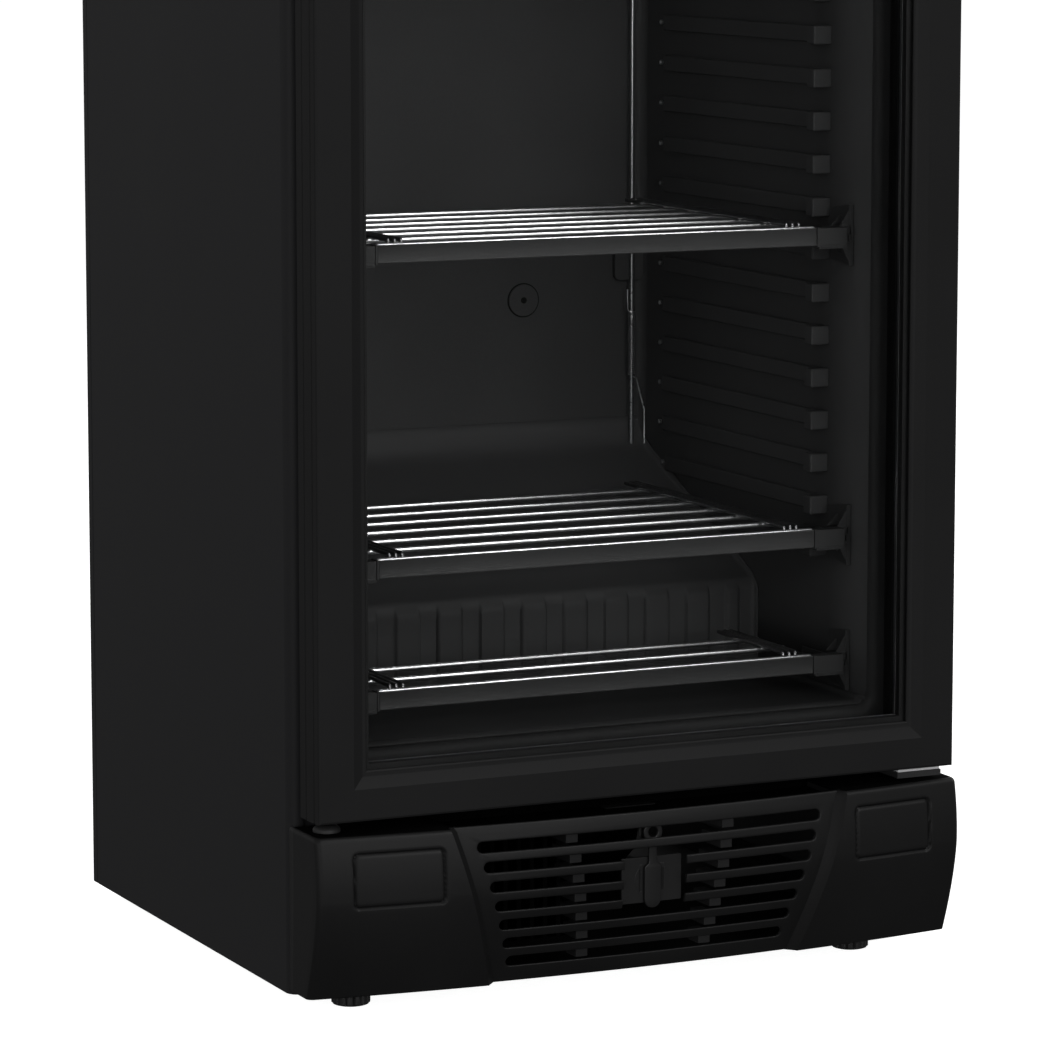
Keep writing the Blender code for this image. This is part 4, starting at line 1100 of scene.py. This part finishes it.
def white_floor():
    """White disc that neither lights the object nor shows in its reflections."""
    bm = bmesh.new()
    bmesh.ops.create_circle(bm, cap_ends=True, segments=96, radius=14.0)
    mesh = bpy.data.meshes.new("floor")
    bm.to_mesh(mesh)
    bm.free()
    floor = add_object("floor", mesh)
    floor.visible_diffuse = False
    floor.visible_glossy = False
    material, _, shader = new_material("floor_white")
    shader.inputs["Base Color"].default_value = (0.55, 0.55, 0.55, 1)
    shader.inputs["Roughness"].default_value = 0.9
    shader.inputs["Specular IOR Level"].default_value = 0.0
    shader.inputs["Emission Color"].default_value = (1, 1, 1, 1)
    shader.inputs["Emission Strength"].default_value = 0.95
    mesh.materials.append(material)


def soft_dome():
    """Dome that is brightest at the horizon, seen by the camera as plain white."""
    world = bpy.data.worlds.new("studio")
    bpy.context.scene.world = world
    world.use_nodes = True
    tree = world.node_tree
    dome = tree.nodes["Background"]
    coords = tree.nodes.new("ShaderNodeTexCoord")
    split = tree.nodes.new("ShaderNodeSeparateXYZ")
    tree.links.new(coords.outputs["Generated"], split.inputs["Vector"])
    shape = tree.nodes.new("ShaderNodeValToRGB")
    below, horizon = shape.color_ramp.elements
    below.position = 0.38
    below.color = (0.3, 0.3, 0.3, 1)
    horizon.position = 0.56
    horizon.color = (1, 1, 1, 1)
    overhead = shape.color_ramp.elements.new(0.95)
    overhead.color = (0.55, 0.55, 0.55, 1)
    tree.links.new(spread(tree, split.outputs["Z"], 0.0, 1.0, -1.0, 1.0), shape.inputs["Fac"])
    tree.links.new(shape.outputs["Color"], dome.inputs["Color"])
    dome.inputs["Strength"].default_value = DOME_STRENGTH
    seen = tree.nodes.new("ShaderNodeBackground")
    seen.inputs["Color"].default_value = (1, 1, 1, 1)
    seen.inputs["Strength"].default_value = 1.05
    path = tree.nodes.new("ShaderNodeLightPath")
    mix = tree.nodes.new("ShaderNodeMixShader")
    tree.links.new(path.outputs["Is Camera Ray"], mix.inputs["Fac"])
    tree.links.new(dome.outputs["Background"], mix.inputs[1])
    tree.links.new(seen.outputs["Background"], mix.inputs[2])
    tree.links.new(mix.outputs["Shader"], tree.nodes["World Output"].inputs["Surface"])
    bpy.context.scene.view_settings.view_transform = "Standard"


def lights():
    """A strip for reflections, a hidden fill in the door opening and six softboxes round the object."""
    strip = area_light("strip", (1.6, -2.6, 3.4), (0.0, 0.1, 0.7), 1.4, 0.9)
    strip.visible_diffuse = False
    fill = area_light("fill", (0.0, back(0.058), 1.0), (0.0, back(1.0), 1.0), 0.44, 1.5)
    fill.visible_camera = False
    fill.visible_glossy = False
    fill.visible_transmission = False
    area_light("front", (-4.0, -4.2, 1.2), (0.0, 0.1, 0.9), 2.6, 2.4)
    area_light("left", (-3.4, 0.6, 1.4), (-0.3, 0.1, 0.7), 2.0, 2.0)
    area_light("centre", (0.4, -5.2, 1.7), (0.0, 0.1, 0.7), 2.4, 2.0)
    area_light("rear", (1.4, 3.4, 4.6), (0.0, 0.2, 1.0), 2.6, 2.2)
    area_light("right", (4.6, 1.2, 1.8), (0.3, 0.1, 0.8), 2.2, 2.2)
    area_light("top", (0.0, -0.6, 4.2), (0.0, 0.0, 0.5), 2.5, 2.0)


def area_light(name, location, target, width, height):
    """A rectangular light that faces its target."""
    light = bpy.data.lights.new(name, "AREA")
    light.shape = "RECTANGLE"
    light.size = width
    light.size_y = height
    light.energy = LIGHT[name]
    item = add_object(name, light)
    item.location = location
    item.rotation_euler = (Vector(target) - Vector(location)).to_track_quat("-Z", "Y").to_euler()
    return item


def camera():
    """The photograph's camera, pitched down and turned to the object's right."""
    pitch = 7.812
    turn = 25.154
    data = bpy.data.cameras.new("camera")
    data.sensor_width = 36.0
    data.lens = 159.84
    data.shift_y = -0.04
    item = add_object("camera", data)
    item.location = (-1.7268, back(-3.4378), 0.9630)
    item.rotation_euler = (math.radians(90 - pitch), 0, math.radians(-turn))
    bpy.context.scene.camera = item


def main():
    side_sheet("left_side_panel", -1)
    side_sheet("right_side_panel", 1)
    breaker()
    tub_walls()
    runners()
    tub_floor()
    tub_fittings()
    corner_rod()
    door()
    hinge_parts()
    wing("kick_left_wing", -1)
    wing("kick_right_wing", 1)
    grille()
    latch()
    for number in range(1, 6):
        shelf(number)
    for node in ("front_left_foot", "front_right_foot", "rear_left_foot", "rear_right_foot"):
        foot(node)
    machinery()
    white_floor()
    soft_dome()
    lights()
    camera()


main()
